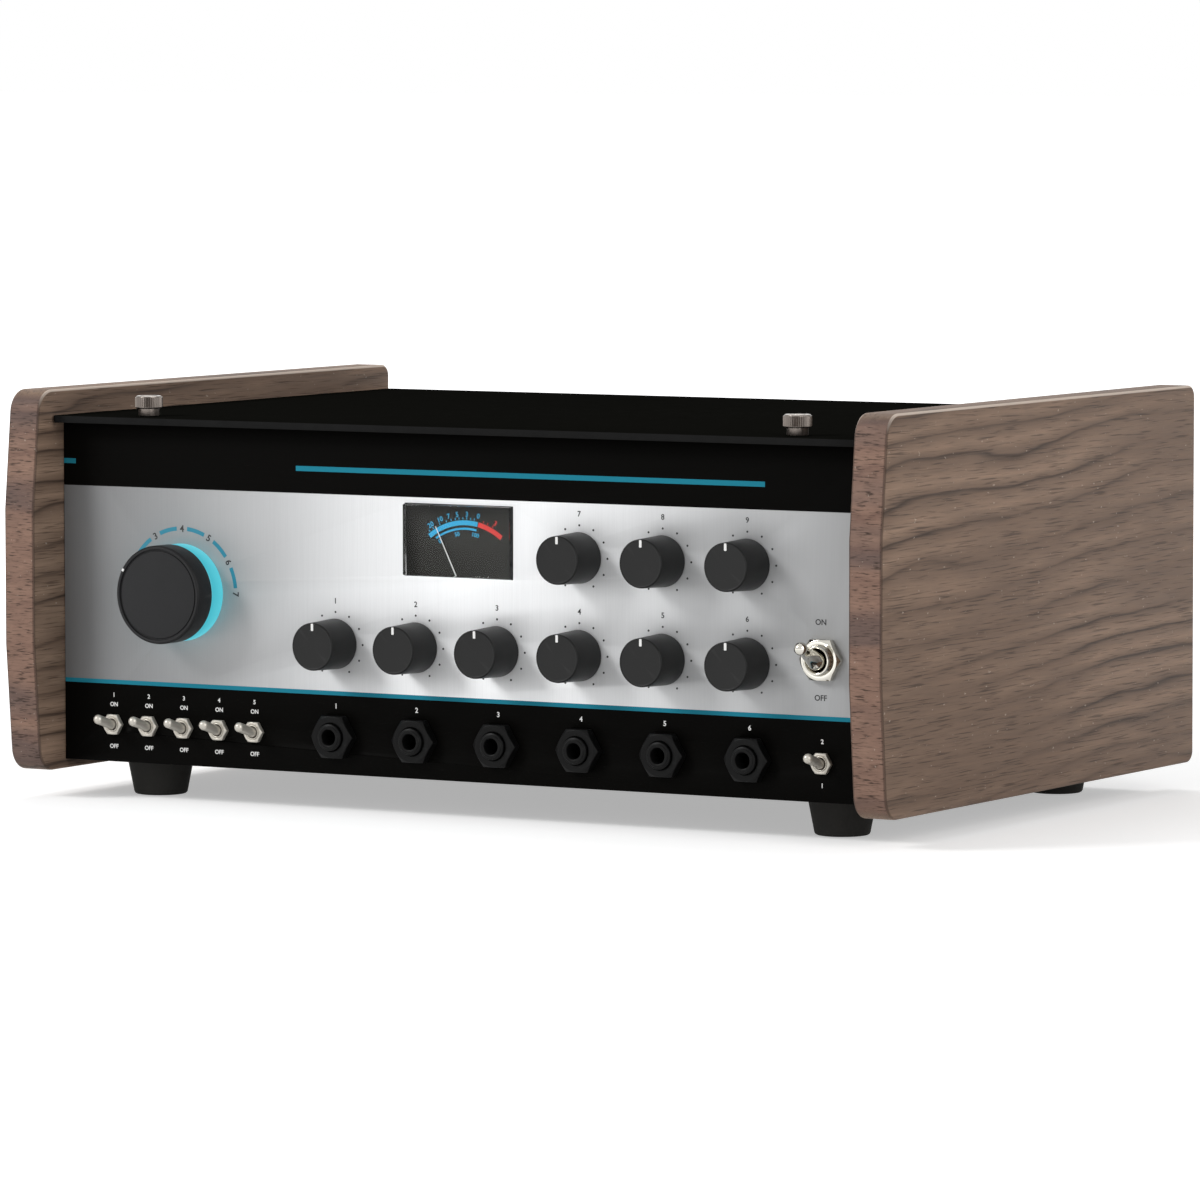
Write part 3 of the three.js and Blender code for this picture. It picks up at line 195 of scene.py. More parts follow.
def remap(tree, value, low, high, toLow=0.0, toHigh=1.0):
    return addNode(tree, "ShaderNodeMapRange", {"Value": value, "From Min": low, "From Max": high,
                                               "To Min": toLow, "To Max": toHigh}).outputs[0]


def mixColour(tree, share, first, second, blend="MIX"):
    return addNode(tree, "ShaderNodeMix", {0: share, 6: first, 7: second}, data_type="RGBA",
                   blend_type=blend).outputs[2]


def shaded(tree, colour, value):  # a colour times a value around 1
    grey = addNode(tree, "ShaderNodeCombineColor", {0: value, 1: value, 2: value}).outputs[0]
    return mixColour(tree, 1.0, colour, grey, "MULTIPLY")


def split(tree, vector):
    return addNode(tree, "ShaderNodeSeparateXYZ", {0: vector}).outputs


def scaled(tree, vector, scale):
    return addNode(tree, "ShaderNodeMapping", {"Vector": vector, "Scale": scale}).outputs[0]


def bumped(tree, strength, distance, height):
    return addNode(tree, "ShaderNodeBump", {"Strength": strength, "Distance": distance,
                                            "Height": height}).outputs[0]


def buildGrain():  # fine mottling of colour, gloss and surface
    group, given, out = newGroup("grain", [
        ("Vector", "Vector", None), ("Color", "Color", None),
        ("Scale", "Float", 800.0), ("Spread", "Float", 0.1),
        ("Roughness", "Float", 0.5), ("Gloss Spread", "Float", 0.1),
        ("Bump", "Float", 0.1),
    ], [("Color", "Color"), ("Roughness", "Float"), ("Normal", "Vector")])
    fine = noise(group, given["Vector"], given["Scale"])
    slow = noise(group, given["Vector"], maths(group, "MULTIPLY", given["Scale"], 0.045))
    both = maths(group, "SUBTRACT", maths(group, "ADD", fine, slow), 1.0)
    value = maths(group, "MULTIPLY_ADD", both, given["Spread"], 1.0)
    group.links.new(shaded(group, given["Color"], value), out["Color"])
    gloss = maths(group, "MULTIPLY_ADD", both, given["Gloss Spread"], given["Roughness"])
    group.links.new(gloss, out["Roughness"])
    group.links.new(bumped(group, given["Bump"], 0.0003, fine), out["Normal"])
    return group


def buildEdgeWear():  # a lighter line along edges, broken up
    group, given, out = newGroup("edgeWear", [
        ("Vector", "Vector", None), ("Color", "Color", None),
        ("Wear Color", "Color", None), ("Amount", "Float", 0.5),
    ], [("Color", "Color")])
    point = addNode(group, "ShaderNodeNewGeometry").outputs["Pointiness"]
    edge = remap(group, point, 0.52, 0.6)
    patches = remap(group, noise(group, given["Vector"], 160.0), 0.35, 0.65)
    mask = maths(group, "MULTIPLY", maths(group, "MULTIPLY", edge, patches), given["Amount"])
    group.links.new(mixColour(group, mask, given["Color"], given["Wear Color"]), out["Color"])
    return group


def buildDust():  # thin settled dust on what faces up
    group, given, out = newGroup("dust", [
        ("Vector", "Vector", None), ("Normal", "Vector", None),
        ("Color", "Color", None), ("Amount", "Float", 0.1),
    ], [("Color", "Color")])
    up = split(group, given["Normal"])[2]
    level = remap(group, up, 0.6, 1.0)
    specks = remap(group, noise(group, given["Vector"], 420.0, 5.0, 0.7), 0.4, 0.75)
    mask = maths(group, "MULTIPLY", maths(group, "MULTIPLY", level, specks), given["Amount"])
    group.links.new(mixColour(group, mask, given["Color"], tone(150, 146, 140)), out["Color"])
    return group


grainGroup, wearGroup, dustGroup = buildGrain(), buildEdgeWear(), buildDust()


def useGroup(tree, group, links):
    return addNode(tree, "ShaderNodeGroup", links, node_tree=group).outputs


def blankMaterial(name, sockets):
    made = bpy.data.materials.new(name)
    made.use_nodes = True
    tree = made.node_tree
    shader = tree.nodes["Principled BSDF"]
    for key, value in sockets.items():
        shader.inputs[key].default_value = value
    return made, tree, shader


def surface(name, look):  # a colour with grain, and edge wear and dust where the look has them, and painted light on faces that look to the front or up
    labels = dict(specular="Specular IOR Level", metallic="Metallic")
    made, tree, shader = blankMaterial(name, {label: look[key] for key, label in labels.items() if key in look})
    place = addNode(tree, "ShaderNodeTexCoord").outputs
    colour = tone(*look["colour"])
    # painted light: faces that look to the front or up take the lighter front or up colour
    for side, axis, start, end in (("front", 1, -0.8, -0.95), ("up", 2, 0.8, 0.95)):
        if side in look:
            facing = split(tree, place["Normal"])[axis]
            colour = mixColour(tree, remap(tree, facing, start, end), colour, tone(*look[side]))
    grain = useGroup(tree, grainGroup, {
        "Vector": scaled(tree, place["Object"], look.get("stretch", (1, 1, 1))), "Color": colour,
        "Scale": look.get("scale", 900.0), "Spread": look.get("spread", 0.12), "Roughness": look["roughness"],
        "Gloss Spread": look.get("glossSpread", 0.12), "Bump": look.get("bump", 0.08)})
    colour = grain["Color"]
    if "wear" in look:
        colour = useGroup(tree, wearGroup, {"Vector": place["Object"], "Color": colour,
                                            "Wear Color": tone(*look["wear"]),
                                            "Amount": look["wearAmount"]})["Color"]
    if "dust" in look:
        colour = useGroup(tree, dustGroup, {"Vector": place["Object"], "Normal": place["Normal"],
                                            "Color": colour, "Amount": look["dust"]})["Color"]
    tree.links.new(colour, shader.inputs["Base Color"])
    tree.links.new(grain["Roughness"], shader.inputs["Roughness"])
    tree.links.new(grain["Normal"], shader.inputs["Normal"])
    return made


# Finishes: display colours, gloss, mottling; front and up are painted light, a lighter colour for faces that
# look that way, where the lamps fall on them more
finishes = dict(
    lidBlack=dict(colour=(15, 15, 13), roughness=0.62, spread=0.2, scale=2600.0, bump=0.12, front=(32, 32, 32),
                  wear=(44, 44, 43), wearAmount=0.12, dust=0.004, specular=0.0),
    caseBlack=dict(colour=(18, 18, 17), roughness=0.55, spread=0.25, scale=2600.0, bump=0.12, dust=0.01,
                   specular=0.05),
    rubber=dict(colour=(54, 53, 51), roughness=0.75, spread=0.3, scale=1500.0, bump=0.25, dust=0.02,
                specular=0.12),
    knobBlack=dict(colour=(29, 29, 29), roughness=0.42, spread=0.12, scale=2400.0, bump=0.05, front=(42, 42, 42),
                   wear=(62, 62, 62), wearAmount=0.3, specular=0.12),
    modeBlack=dict(colour=(29, 29, 30), roughness=0.4, spread=0.12, scale=2400.0, bump=0.05, front=(42, 42, 43),
                   wear=(70, 70, 70), wearAmount=0.4, specular=0.12),
    socketBlack=dict(colour=(9, 9, 9), roughness=0.38, spread=0.15, scale=1800.0, bump=0.06, wear=(34, 35, 35),
                     wearAmount=0.4, specular=0.12),
    boreBlack=dict(colour=(8, 8, 8), roughness=0.8, spread=0.2, specular=0.12),
    nickel=dict(colour=(196, 191, 181), roughness=0.36, spread=0.1, scale=1800.0, bump=0.04, glossSpread=0.14,
                metallic=0.55),
    chrome=dict(colour=(206, 203, 194), roughness=0.08, spread=0.03, scale=700.0, bump=0.01, glossSpread=0.05,
                metallic=1.0),
    steel=dict(colour=(196, 194, 190), roughness=0.24, spread=0.1, bump=0.05, stretch=(1, 1, 6), metallic=1.0),
    # knurled: the strong vertical light and dark streaks are painted reflections of the knurl, and the lighter
    # up colour is a painted highlight on the top
    knurled=dict(colour=(122, 114, 108), roughness=0.3, spread=1.3, scale=520.0, bump=0.05,
                 stretch=(1, 1, 0.03), up=(214, 210, 204), metallic=0.9),
    zinc=dict(colour=(176, 180, 182), roughness=0.36, scale=260.0, bump=0.04, stretch=(1, 8, 1), dust=0.05,
              metallic=0.9),
    aluminium=dict(colour=(196, 198, 200), roughness=0.3, spread=0.1, scale=300.0, bump=0.05, stretch=(8, 1, 1),
                   metallic=0.95),
    brass=dict(colour=(196, 164, 92), roughness=0.24, spread=0.1, scale=700.0, bump=0.04, metallic=1.0),
    mirror=dict(colour=(210, 208, 204), roughness=0.12, spread=0.04, bump=0.01, metallic=1.0),
    tapeBrown=dict(colour=(74, 50, 38), roughness=0.32, spread=0.14, scale=500.0, bump=0.03, stretch=(1, 1, 12),
                   specular=0.5),
    beltBlack=dict(colour=(24, 24, 25), roughness=0.6, spread=0.2, scale=1200.0, bump=0.1, specular=0.3),
    boardGreen=dict(colour=(34, 84, 58), roughness=0.34, spread=0.2, scale=420.0, dust=0.08, specular=0.5),
    canSleeve=dict(colour=(30, 38, 66), roughness=0.35, spread=0.1, dust=0.08),
    windingTape=dict(colour=(214, 176, 70), roughness=0.4, spread=0.2, scale=300.0),
    switchRed=dict(colour=(120, 28, 26), roughness=0.4, spread=0.1, specular=0.4),
    dialGrey=dict(colour=(46, 45, 42), roughness=0.6, spread=0.1, scale=1500.0, bump=0.05, specular=0.12),
    whitePaint=dict(colour=(236, 236, 234), roughness=0.5, spread=0.03, bump=0.02),
    darkInk=dict(colour=(34, 34, 35), roughness=0.5, spread=0.05, bump=0.02),
    tealInk=dict(colour=(38, 132, 155), roughness=0.5, spread=0.05, bump=0.02),
    dialCyan=dict(colour=(44, 178, 228), roughness=0.5, spread=0.03, bump=0.02),
    dialRed=dict(colour=(232, 58, 52), roughness=0.5, spread=0.03, bump=0.02),
)
paint = {name: surface(name, look) for name, look in finishes.items()}
print("surfaces ready")


# Mesh tools: outlines, turned and lofted forms, soft edges
def filleted(points, steps=4, closed=True):  # points are (a, b) or (a, b, corner radius)
    smooth = []
    count = len(points)
    for i, point in enumerate(points):
        here = Vector(point[:2])
        radius = point[2] if len(point) > 2 else 0
        if radius == 0 or (not closed and i in (0, count - 1)):
            smooth.append(here)
            continue
        before = (Vector(points[i - 1][:2]) - here).normalized()
        after = (Vector(points[(i + 1) % count][:2]) - here).normalized()
        half = before.angle(after) / 2
        middle = here + (before + after).normalized() * (radius / math.sin(half))
        start = here + before * (radius / math.tan(half)) - middle
        end = here + after * (radius / math.tan(half)) - middle
        first = math.atan2(start.y, start.x)
        sweep = (math.atan2(end.y, end.x) - first + math.pi) % math.tau - math.pi
        for step in range(steps + 1):
            angle = first + sweep * step / steps
            smooth.append(middle + Vector((math.cos(angle), math.sin(angle))) * radius)
    return smooth


def lofted(rings, closed=False, caps=False):  # rings of points; a ring of one point is a pole
    made = bmesh.new()
    rows = [[made.verts.new(point) for point in ring] for ring in rings]
    if caps:
        made.faces.new(rows[0])
        made.faces.new(rows[-1])
    pairs = list(zip(rows, rows[1:])) + ([(rows[-1], rows[0])] if closed else [])
    for low, high in pairs:
        count = max(len(low), len(high))
        if count == 1:
            continue
        for k in range(count):
            n = (k + 1) % count
            quad = [low[k % len(low)], low[n % len(low)], high[n % len(high)], high[k % len(high)]]
            made.faces.new(list(dict.fromkeys(quad)))
    bmesh.ops.recalc_face_normals(made, faces=made.faces)
    return made


def circle(radius, x=0.0, y=0.0, sides=48):
    return [Vector((x + radius * math.cos(math.tau * k / sides), y + radius * math.sin(math.tau * k / sides)))
            for k in range(sides)]


def roundRing(radius, height, sides):
    return [(*point, height) for point in circle(radius, sides=sides)]


def turned(profile, sides=72, steps=4, closed=False):  # profile of (radius, height, corner radius) about Z
    rings = [[(0, 0, height)] if radius < 1e-6 else roundRing(radius, height, sides)
             for radius, height in filleted(profile, steps, closed)]
    return lofted(rings, closed)


def slab(outline, low, high, holes=()):  # a flat outline in XY with holes, between two heights
    made = bmesh.new()
    loops = [[made.verts.new((x, y, low)) for x, y in loop] for loop in (outline, *holes)]
    rims = [made.edges.new((loop[i - 1], loop[i])) for loop in loops for i in range(len(loop))]
    if holes:
        bmesh.ops.triangle_fill(made, edges=rims, use_beauty=True)
    else:
        made.faces.new(loops[0])
    raised = bmesh.ops.extrude_face_region(made, geom=list(made.faces))
    bmesh.ops.translate(made, verts=[v for v in raised["geom"] if isinstance(v, bmesh.types.BMVert)],
                        vec=(0, 0, high - low))
    bmesh.ops.recalc_face_normals(made, faces=made.faces)
    return made


def rectangle(x0, x1, y0, y1, radius=0.0, steps=4):
    return filleted([(x0, y0, radius), (x1, y0, radius), (x1, y1, radius), (x0, y1, radius)], steps)


def block(x0, x1, y0, y1, z0, z1):
    return slab([(x0, y0), (x1, y0), (x1, y1), (x0, y1)], z0, z1)


forward = Matrix.Rotation(math.pi / 2, 4, "X")  # a form made along Z then points at -Y, X stays
backward = Matrix.Rotation(-math.pi / 2, 4, "X")  # a form made along Z then points at +Y
sideways = Matrix(((0, 0, 1, 0), (1, 0, 0, 0), (0, 1, 0, 0), (0, 0, 0, 1)))  # drawn in YZ, thick in X


def moved(form, x=0.0, y=0.0, z=0.0, turn=None):
    form.transform(Matrix.Translation((x, y, z)) @ (turn or Matrix.Identity(4)))
    return form


def together(*forms):  # several forms as one mesh
    whole = bmesh.new()
    for form in forms:
        step = bpy.data.meshes.new("step")
        form.to_mesh(step)
        form.free()
        whole.from_mesh(step)
        bpy.data.meshes.remove(step)
    return whole


def bakeModifiers(holder):  # the evaluated shape as a plain mesh
    shape = bpy.data.meshes.new_from_object(holder.evaluated_get(bpy.context.evaluated_depsgraph_get()))
    holder.modifiers.clear()
    spare = holder.data
    holder.data = shape
    bpy.data.meshes.remove(spare)


def softEdges(holder, width, segments=2, angle=32):
    edge = holder.modifiers.new("edge", "BEVEL")
    edge.width = width * mm
    edge.segments = segments
    edge.limit_method = "ANGLE"
    edge.angle_limit = math.radians(angle)
    edge.harden_normals = False
    edge.miter_outer = "MITER_ARC"
    bakeModifiers(holder)


def settled(made, body, stands=(), sharp=34):  # smooth shading, body and the nodes it stands for
    made.data.name = made.name
    made.data.shade_smooth()
    made.data.set_sharp_from_angle(angle=math.radians(sharp))
    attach(made, body)
    if stands:
        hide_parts(*stands)


def piece(name, form, finish, stands=(), body="case", edge=0.0, segments=2, sharp=34):
    mesh = bpy.data.meshes.new(name)
    form.to_mesh(mesh)
    form.free()
    mesh.transform(Matrix.Scale(mm, 4))
    made = bpy.data.objects.new(name, mesh)
    scene.collection.objects.link(made)
    mesh.materials.append(paint[finish])
    if edge:
        softEdges(made, edge, segments)
    settled(made, body, stands, sharp)


def copied(node, weld=0.0005):  # a CAD node's shape with shared corners, in millimetres
    form = bmesh.new()
    form.from_mesh(frame["nodes"][node].data)
    bmesh.ops.transform(form, matrix=Matrix.Scale(1 / mm, 4), verts=form.verts)
    bmesh.ops.remove_doubles(form, verts=form.verts, dist=weld)
    return form


def hexagonNut(flats, thick, bore, chamfer=0.5, perSide=8):  # back at 0, front at thick, corners turned off
    reach = flats / math.sqrt(3)
    outline = filleted([(*corner, flats * 0.02) for corner in circle(reach, sides=6)], 2)
    path = []
    for i, end in enumerate(outline):
        start = outline[i - 1]
        cuts = perSide if (end - start).length > flats * 0.1 else 1
        path += [start.lerp(end, (k + 1) / cuts) for k in range(cuts)]
    flat = flats / 2 * 0.97
    drop = [max(0.0, point.length - flat) * chamfer for point in path]
    rings = [
        [(*(point.normalized() * bore), 0) for point in path],
        [(*(point.normalized() * bore), thick - 0.25) for point in path],
        [(*(point.normalized() * (bore + 0.25)), thick) for point in path],
        [(*(point.normalized() * flat), thick) for point in path],
        [(*point, thick - fall) for point, fall in zip(path, drop)],
        [(*point, 0) for point in path],
    ]
    return lofted(rings, closed=True)


# Geometry Nodes: small parts repeated at points
def nodeTree(name, inputs):
    tree = bpy.data.node_groups.new(name, "GeometryNodeTree")
    addInputs(tree, [("Geometry", "Geometry", None), *inputs])
    tree.interface.new_socket(name="Geometry", in_out="OUTPUT", socket_type="NodeSocketGeometry")
    return tree, tree.nodes.new("NodeGroupInput").outputs, tree.nodes.new("NodeGroupOutput").inputs


def endTree(tree, geometry, material, out):
    real = addNode(tree, "GeometryNodeRealizeInstances", {0: geometry})
    painted = addNode(tree, "GeometryNodeSetMaterial", {"Geometry": real.outputs[0], "Material": material})
    tree.links.new(painted.outputs[0], out[0])


def grown(name, points, tree, values, body):  # runs a tree on loose points
    mesh = bpy.data.meshes.new(name)
    mesh.from_pydata([Vector(point) * mm for point in points], [], [])
    made = bpy.data.objects.new(name, mesh)
    scene.collection.objects.link(made)
    run = made.modifiers.new("grow", "NODES")
    run.node_group = tree
    labels = {item.name: item.identifier for item in tree.interface.items_tree if item.in_out == "INPUT"}
    for label, value in values.items():
        run[labels[label]] = value
    bakeModifiers(made)
    settled(made, body)


print("tools ready")


# Walnut: dark growth lines along the depth, fibre and pores, pinker front edges, a painted highlight along the
# top arris and painted shade along the front arris
walnutLook = dict(dark=tone(58, 46, 39), middle=tone(112, 92, 78), light=tone(144, 120, 102),
                  edge=tone(146, 114, 101), band=tone(86, 74, 72), pore=tone(44, 34, 29),
                  fleck=tone(186, 171, 157), paintedHighlight=tone(222, 206, 192), lines=84, slope=0.05, wave=0.022,
                  uneven=0.03, jitter=1.1)


def walnutMaterial():
    made, tree, shader = blankMaterial("walnut", {"Specular IOR Level": 0.15})
    place = addNode(tree, "ShaderNodeTexCoord").outputs
    parts = split(tree, place["Object"])
    facing = split(tree, place["Normal"])
    front = remap(tree, facing[1], -0.55, -0.8)

    def stretched(along, across=1.0):  # the grain's own place, shortened along the depth or the width
        return scaled(tree, place["Object"], (across, along, 1))

    def shifted(value, size, base):  # a noise around zero, added to a height
        return maths(tree, "MULTIPLY_ADD", maths(tree, "SUBTRACT", value, 0.5), size, base)

    rise = maths(tree, "MULTIPLY_ADD", parts[1], -walnutLook["slope"], parts[2])
    rise = shifted(noise(tree, stretched(0.6, 0.4), 9.0, 2.0), walnutLook["wave"], rise)
    rise = shifted(noise(tree, stretched(0.1, 0.1), 30.0, 1.0), walnutLook["uneven"], rise)
    broken = noise(tree, stretched(0.12), 52.0, 3.0, 0.6)
    jitter = maths(tree, "MULTIPLY", broken, walnutLook["jitter"])
    phase = maths(tree, "MULTIPLY_ADD", rise, walnutLook["lines"], jitter)
    ramp = addNode(tree, "ShaderNodeValToRGB", {"Fac": maths(tree, "FRACT", phase)})
    stops = ramp.color_ramp.elements
    stops[0].position, stops[0].color = 0.0, walnutLook["dark"]
    stops[1].position, stops[1].color = 1.0, walnutLook["dark"]
    for position, name in ((0.07, "middle"), (0.4, "light"), (0.86, "middle")):
        stops.new(position).color = walnutLook[name]
    depth = remap(tree, noise(tree, stretched(0.3), 26.0, 3.0), 0.36, 0.56, 0.1, 0.95)
    rings = mixColour(tree, depth, walnutLook["middle"], ramp.outputs[0])
    bands = remap(tree, noise(tree, stretched(0.2, 0.1), 58.0, 2.0), 0.52, 0.66, 0.0, 0.7)
    edges = mixColour(tree, maths(tree, "MULTIPLY", front, 0.55), rings, walnutLook["edge"])
    pinker = mixColour(tree, maths(tree, "MULTIPLY", front, bands), edges, walnutLook["band"])
    long = addNode(tree, "ShaderNodeMix", {0: front, 4: stretched(0.03), 5: stretched(1.0, 0.12)},
                   data_type="VECTOR").outputs[1]
    fibre = noise(tree, long, 1100.0, 4.0, 0.65)
    pores = remap(tree, noise(tree, long, 1700.0, 2.0, 0.5), 0.55, 0.68)
    share = maths(tree, "MULTIPLY_ADD", front, 0.2, 0.6)
    darker = mixColour(tree, maths(tree, "MULTIPLY", pores, share), pinker, walnutLook["pore"])
    flecks = remap(tree, noise(tree, stretched(0.4), 700.0, 2.0, 0.4), 0.71, 0.77)
    flecked = mixColour(tree, maths(tree, "MULTIPLY", flecks, 0.5), darker, walnutLook["fleck"])
    value = maths(tree, "MULTIPLY_ADD", fibre, 0.75, 0.62)
    colour = shaded(tree, flecked, value)
    # painted highlight on the top arris and painted shade on the front arris, chosen by which way the bevel
    # faces
    side = maths(tree, "ABSOLUTE", facing[0])
    paintedHighlightTop = remap(tree, maths(tree, "MULTIPLY", side, facing[2]), 0.12, 0.34, 0.0, 0.75)
    paintedShadeFront = remap(tree, maths(tree, "MULTIPLY", side, facing[1]), -0.12, -0.34, 0.0, 0.55)
    colour = mixColour(tree, paintedHighlightTop, colour, walnutLook["paintedHighlight"])
    colour = mixColour(tree, paintedShadeFront, colour, walnutLook["dark"])
    tree.links.new(colour, shader.inputs["Base Color"])
    tree.links.new(maths(tree, "MULTIPLY_ADD", fibre, 0.25, 0.42), shader.inputs["Roughness"])
    height = maths(tree, "SUBTRACT", fibre, pores)
    tree.links.new(bumped(tree, 0.35, 0.0002, height), shader.inputs["Normal"])
    return made


# Front panel: brushed silver band between black bands, with two teal lines; the silver band's brightness is
# painted sheen, brightest near the middle, with painted shade towards both ends, darkest at the left end beside
# the wood side
panelPrintAndSheen = dict(silverLow=49.6, silverHigh=130.05, lineLow=47.85, topLine=140.15, topLineThick=2.1,
                  teal=tone(38, 130, 152), darkest=tone(3, 3, 2), dark=tone(8, 7, 6),
                  stretches=((-191.1, -185.0), (-76.6, 142.2)),
                  # stops: painted sheen and painted shade across the silver band, from its left end to its right
                  # end
                  stops=((0.0, 126), (0.14, 156), (0.27, 190), (0.38, 226), (0.5, 248), (0.6, 246),
                         (0.7, 230), (0.82, 198), (0.92, 178), (1.0, 168)))


def within(tree, value, low, high):  # 1 between two places, in metres
    return maths(tree, "MULTIPLY", maths(tree, "GREATER_THAN", value, low * mm),
                 maths(tree, "LESS_THAN", value, high * mm))


def panelMaterial():
    made, tree, shader = blankMaterial("panelPrintAndSheen", {"Specular IOR Level": 0.03, "Anisotropic": 0.5})
    place = addNode(tree, "ShaderNodeTexCoord").outputs
    parts = split(tree, place["Object"])
    brushing = scaled(tree, place["Object"], (1, 1, 0.012))
    streaks = noise(tree, brushing, 2600.0, 3.0, 0.7)
    # painted sheen and shade: the silver's brightness follows the place across the panel
    sweep = remap(tree, parts[0], panelLow.x * mm, panelHigh.x * mm)
    ramp = addNode(tree, "ShaderNodeValToRGB", {"Fac": sweep})
    stops = ramp.color_ramp.elements
    for i, (position, level) in enumerate(panelPrintAndSheen["stops"]):
        stop = stops[i] if i < 2 else stops.new(position)
        stop.position, stop.color = position, tone(level, level + 1, level + 2)
    value = maths(tree, "MULTIPLY_ADD", streaks, 0.16, 0.92)
    brushedWithPaintedSheen = shaded(tree, ramp.outputs[0], value)
    facing = split(tree, place["Normal"])[1]
    outside = maths(tree, "LESS_THAN", facing, -0.5)  # the print is on the outside only
    band = within(tree, parts[2], panelPrintAndSheen["silverLow"], panelPrintAndSheen["silverHigh"])
    band = maths(tree, "MULTIPLY", band, outside)
    half = panelPrintAndSheen["topLineThick"] / 2
    top = within(tree, parts[2], panelPrintAndSheen["topLine"] - half, panelPrintAndSheen["topLine"] + half)
    (a, b), (c, d) = panelPrintAndSheen["stretches"]
    beside = maths(tree, "ADD", within(tree, parts[0], a, b), within(tree, parts[0], c, d))
    top = maths(tree, "MULTIPLY", top, beside)
    teal = maths(tree, "ADD", top, within(tree, parts[2], panelPrintAndSheen["lineLow"], panelPrintAndSheen["silverLow"]))
    teal = maths(tree, "MULTIPLY", teal, outside)
    speck = noise(tree, place["Object"], 3000.0, 3.0)
    black = mixColour(tree, speck, panelPrintAndSheen["darkest"], panelPrintAndSheen["dark"])
    colour = mixColour(tree, band, black, brushedWithPaintedSheen)
    colour = mixColour(tree, teal, colour, panelPrintAndSheen["teal"])
    tree.links.new(colour, shader.inputs["Base Color"])
    tree.links.new(maths(tree, "MULTIPLY", band, 0.35), shader.inputs["Metallic"])
    rough = maths(tree, "MULTIPLY_ADD", streaks, 0.2, 0.42)
    tree.links.new(rough, shader.inputs["Roughness"])
    height = maths(tree, "MULTIPLY", streaks, band)
    tree.links.new(bumped(tree, 0.08, 0.0001, height), shader.inputs["Normal"])
    return made


def ringMaterial():  # lit plastic: brighter towards the panel, where the lamps sit
    made, tree, shader = blankMaterial("ringGlow", {"Roughness": 0.35, "Emission Strength": 1.0})
    place = addNode(tree, "ShaderNodeTexCoord").outputs
    parts = split(tree, place["Object"])
    low, high = corners("light_ring")
    depth = remap(tree, parts[1], low.y * mm, high.y * mm)
    cloud = noise(tree, place["Object"], 120.0, 2.0)
    share = maths(tree, "ADD", maths(tree, "MULTIPLY", depth, 0.7), maths(tree, "MULTIPLY", cloud, 0.3))
    glow = mixColour(tree, share, tone(52, 168, 184), tone(84, 196, 210))
    tree.links.new(mixColour(tree, share, tone(10, 60, 68), tone(20, 84, 94)), shader.inputs["Base Color"])
    tree.links.new(glow, shader.inputs["Emission Color"])
    return made


def clearMaterial(name, tint, rough):  # light passes straight through it to what lies behind
    made, tree, shader = blankMaterial(name, {"Base Color": tint, "Roughness": rough, "IOR": 1.45,
                                              "Specular Tint": (0.12, 0.12, 0.12, 1),
                                              "Transmission Weight": 1.0})
    out = tree.nodes["Material Output"]
    path = addNode(tree, "ShaderNodeLightPath").outputs
    passing = maths(tree, "MAXIMUM", path["Is Shadow Ray"], path["Is Diffuse Ray"])
    through = addNode(tree, "ShaderNodeBsdfTransparent", {"Color": tint})
    both = addNode(tree, "ShaderNodeMixShader", {0: passing, 1: shader.outputs[0], 2: through.outputs[0]})
    tree.links.new(both.outputs[0], out.inputs["Surface"])
    place = addNode(tree, "ShaderNodeTexCoord").outputs
    haze = noise(tree, place["Object"], 40.0, 2.0)
    tree.links.new(maths(tree, "MULTIPLY_ADD", haze, 0.03, rough), shader.inputs["Roughness"])
    return made


paint["walnut"] = walnutMaterial()
paint["panelPrintAndSheen"] = panelMaterial()
paint["ringGlow"] = ringMaterial()
paint["clearBlock"] = clearMaterial("clearBlock", (0.97, 0.98, 0.98, 1), 0.02)
paint["clearCover"] = clearMaterial("clearCover", (0.93, 0.95, 0.95, 1), 0.03)

# Wood sides
woodSide = dict(frontRadius=10, backRadius=5, topLean=5.2, footLean=4.6, upperCrease=0.69, lowerCrease=0.335,
                arris=1.1)


def buildWoodSides():
    for side in ("left", "right"):
        low, high = corners("wood_side_" + side)
        tall = high.z - low.z
        outline = filleted([
            (high.y, low.z, woodSide["backRadius"]),
            (high.y, high.z, woodSide["backRadius"]),
            (low.y + woodSide["topLean"], high.z, woodSide["frontRadius"]),
            (low.y, low.z + tall * woodSide["upperCrease"]),
            (low.y, low.z + tall * woodSide["lowerCrease"]),
            (low.y + woodSide["footLean"], low.z, woodSide["frontRadius"]),
        ], 12)
        board = moved(slab(outline, low.x, high.x), turn=sideways)
        piece(f"wood_board_{side}", board, "walnut", [f"wood_side_{side}"],
              edge=woodSide["arris"], segments=4, sharp=24)


buildWoodSides()
print("wood ready")

# Case, lid and hinge
lidPlate = dict(corner=2, hole=2.35, edge=0.35)
hinge = dict(knuckle=2.1, pin=1.0, leaf=1.0, flap=6.0, count=5, gap=0.3, screws=9, screwRise=4.0)


def buildCase():
    piece("case_tub", copied("chassis_tub"), "caseBlack", ["chassis_tub"], edge=0.25)
    piece("panel_plate", copied("front_panel"), "panelPrintAndSheen", ["front_panel"],
          edge=0.2)


def hingeSpans(first):  # every other knuckle along the hinge
    low, high = corners("lid_hinge")
    length = (high.x - low.x + hinge["gap"]) / hinge["count"]
    start = low.x - hinge["gap"] / 2
    return [(start + i * length + hinge["gap"] / 2, start + (i + 1) * length - hinge["gap"] / 2)
            for i in range(first, hinge["count"], 2)]


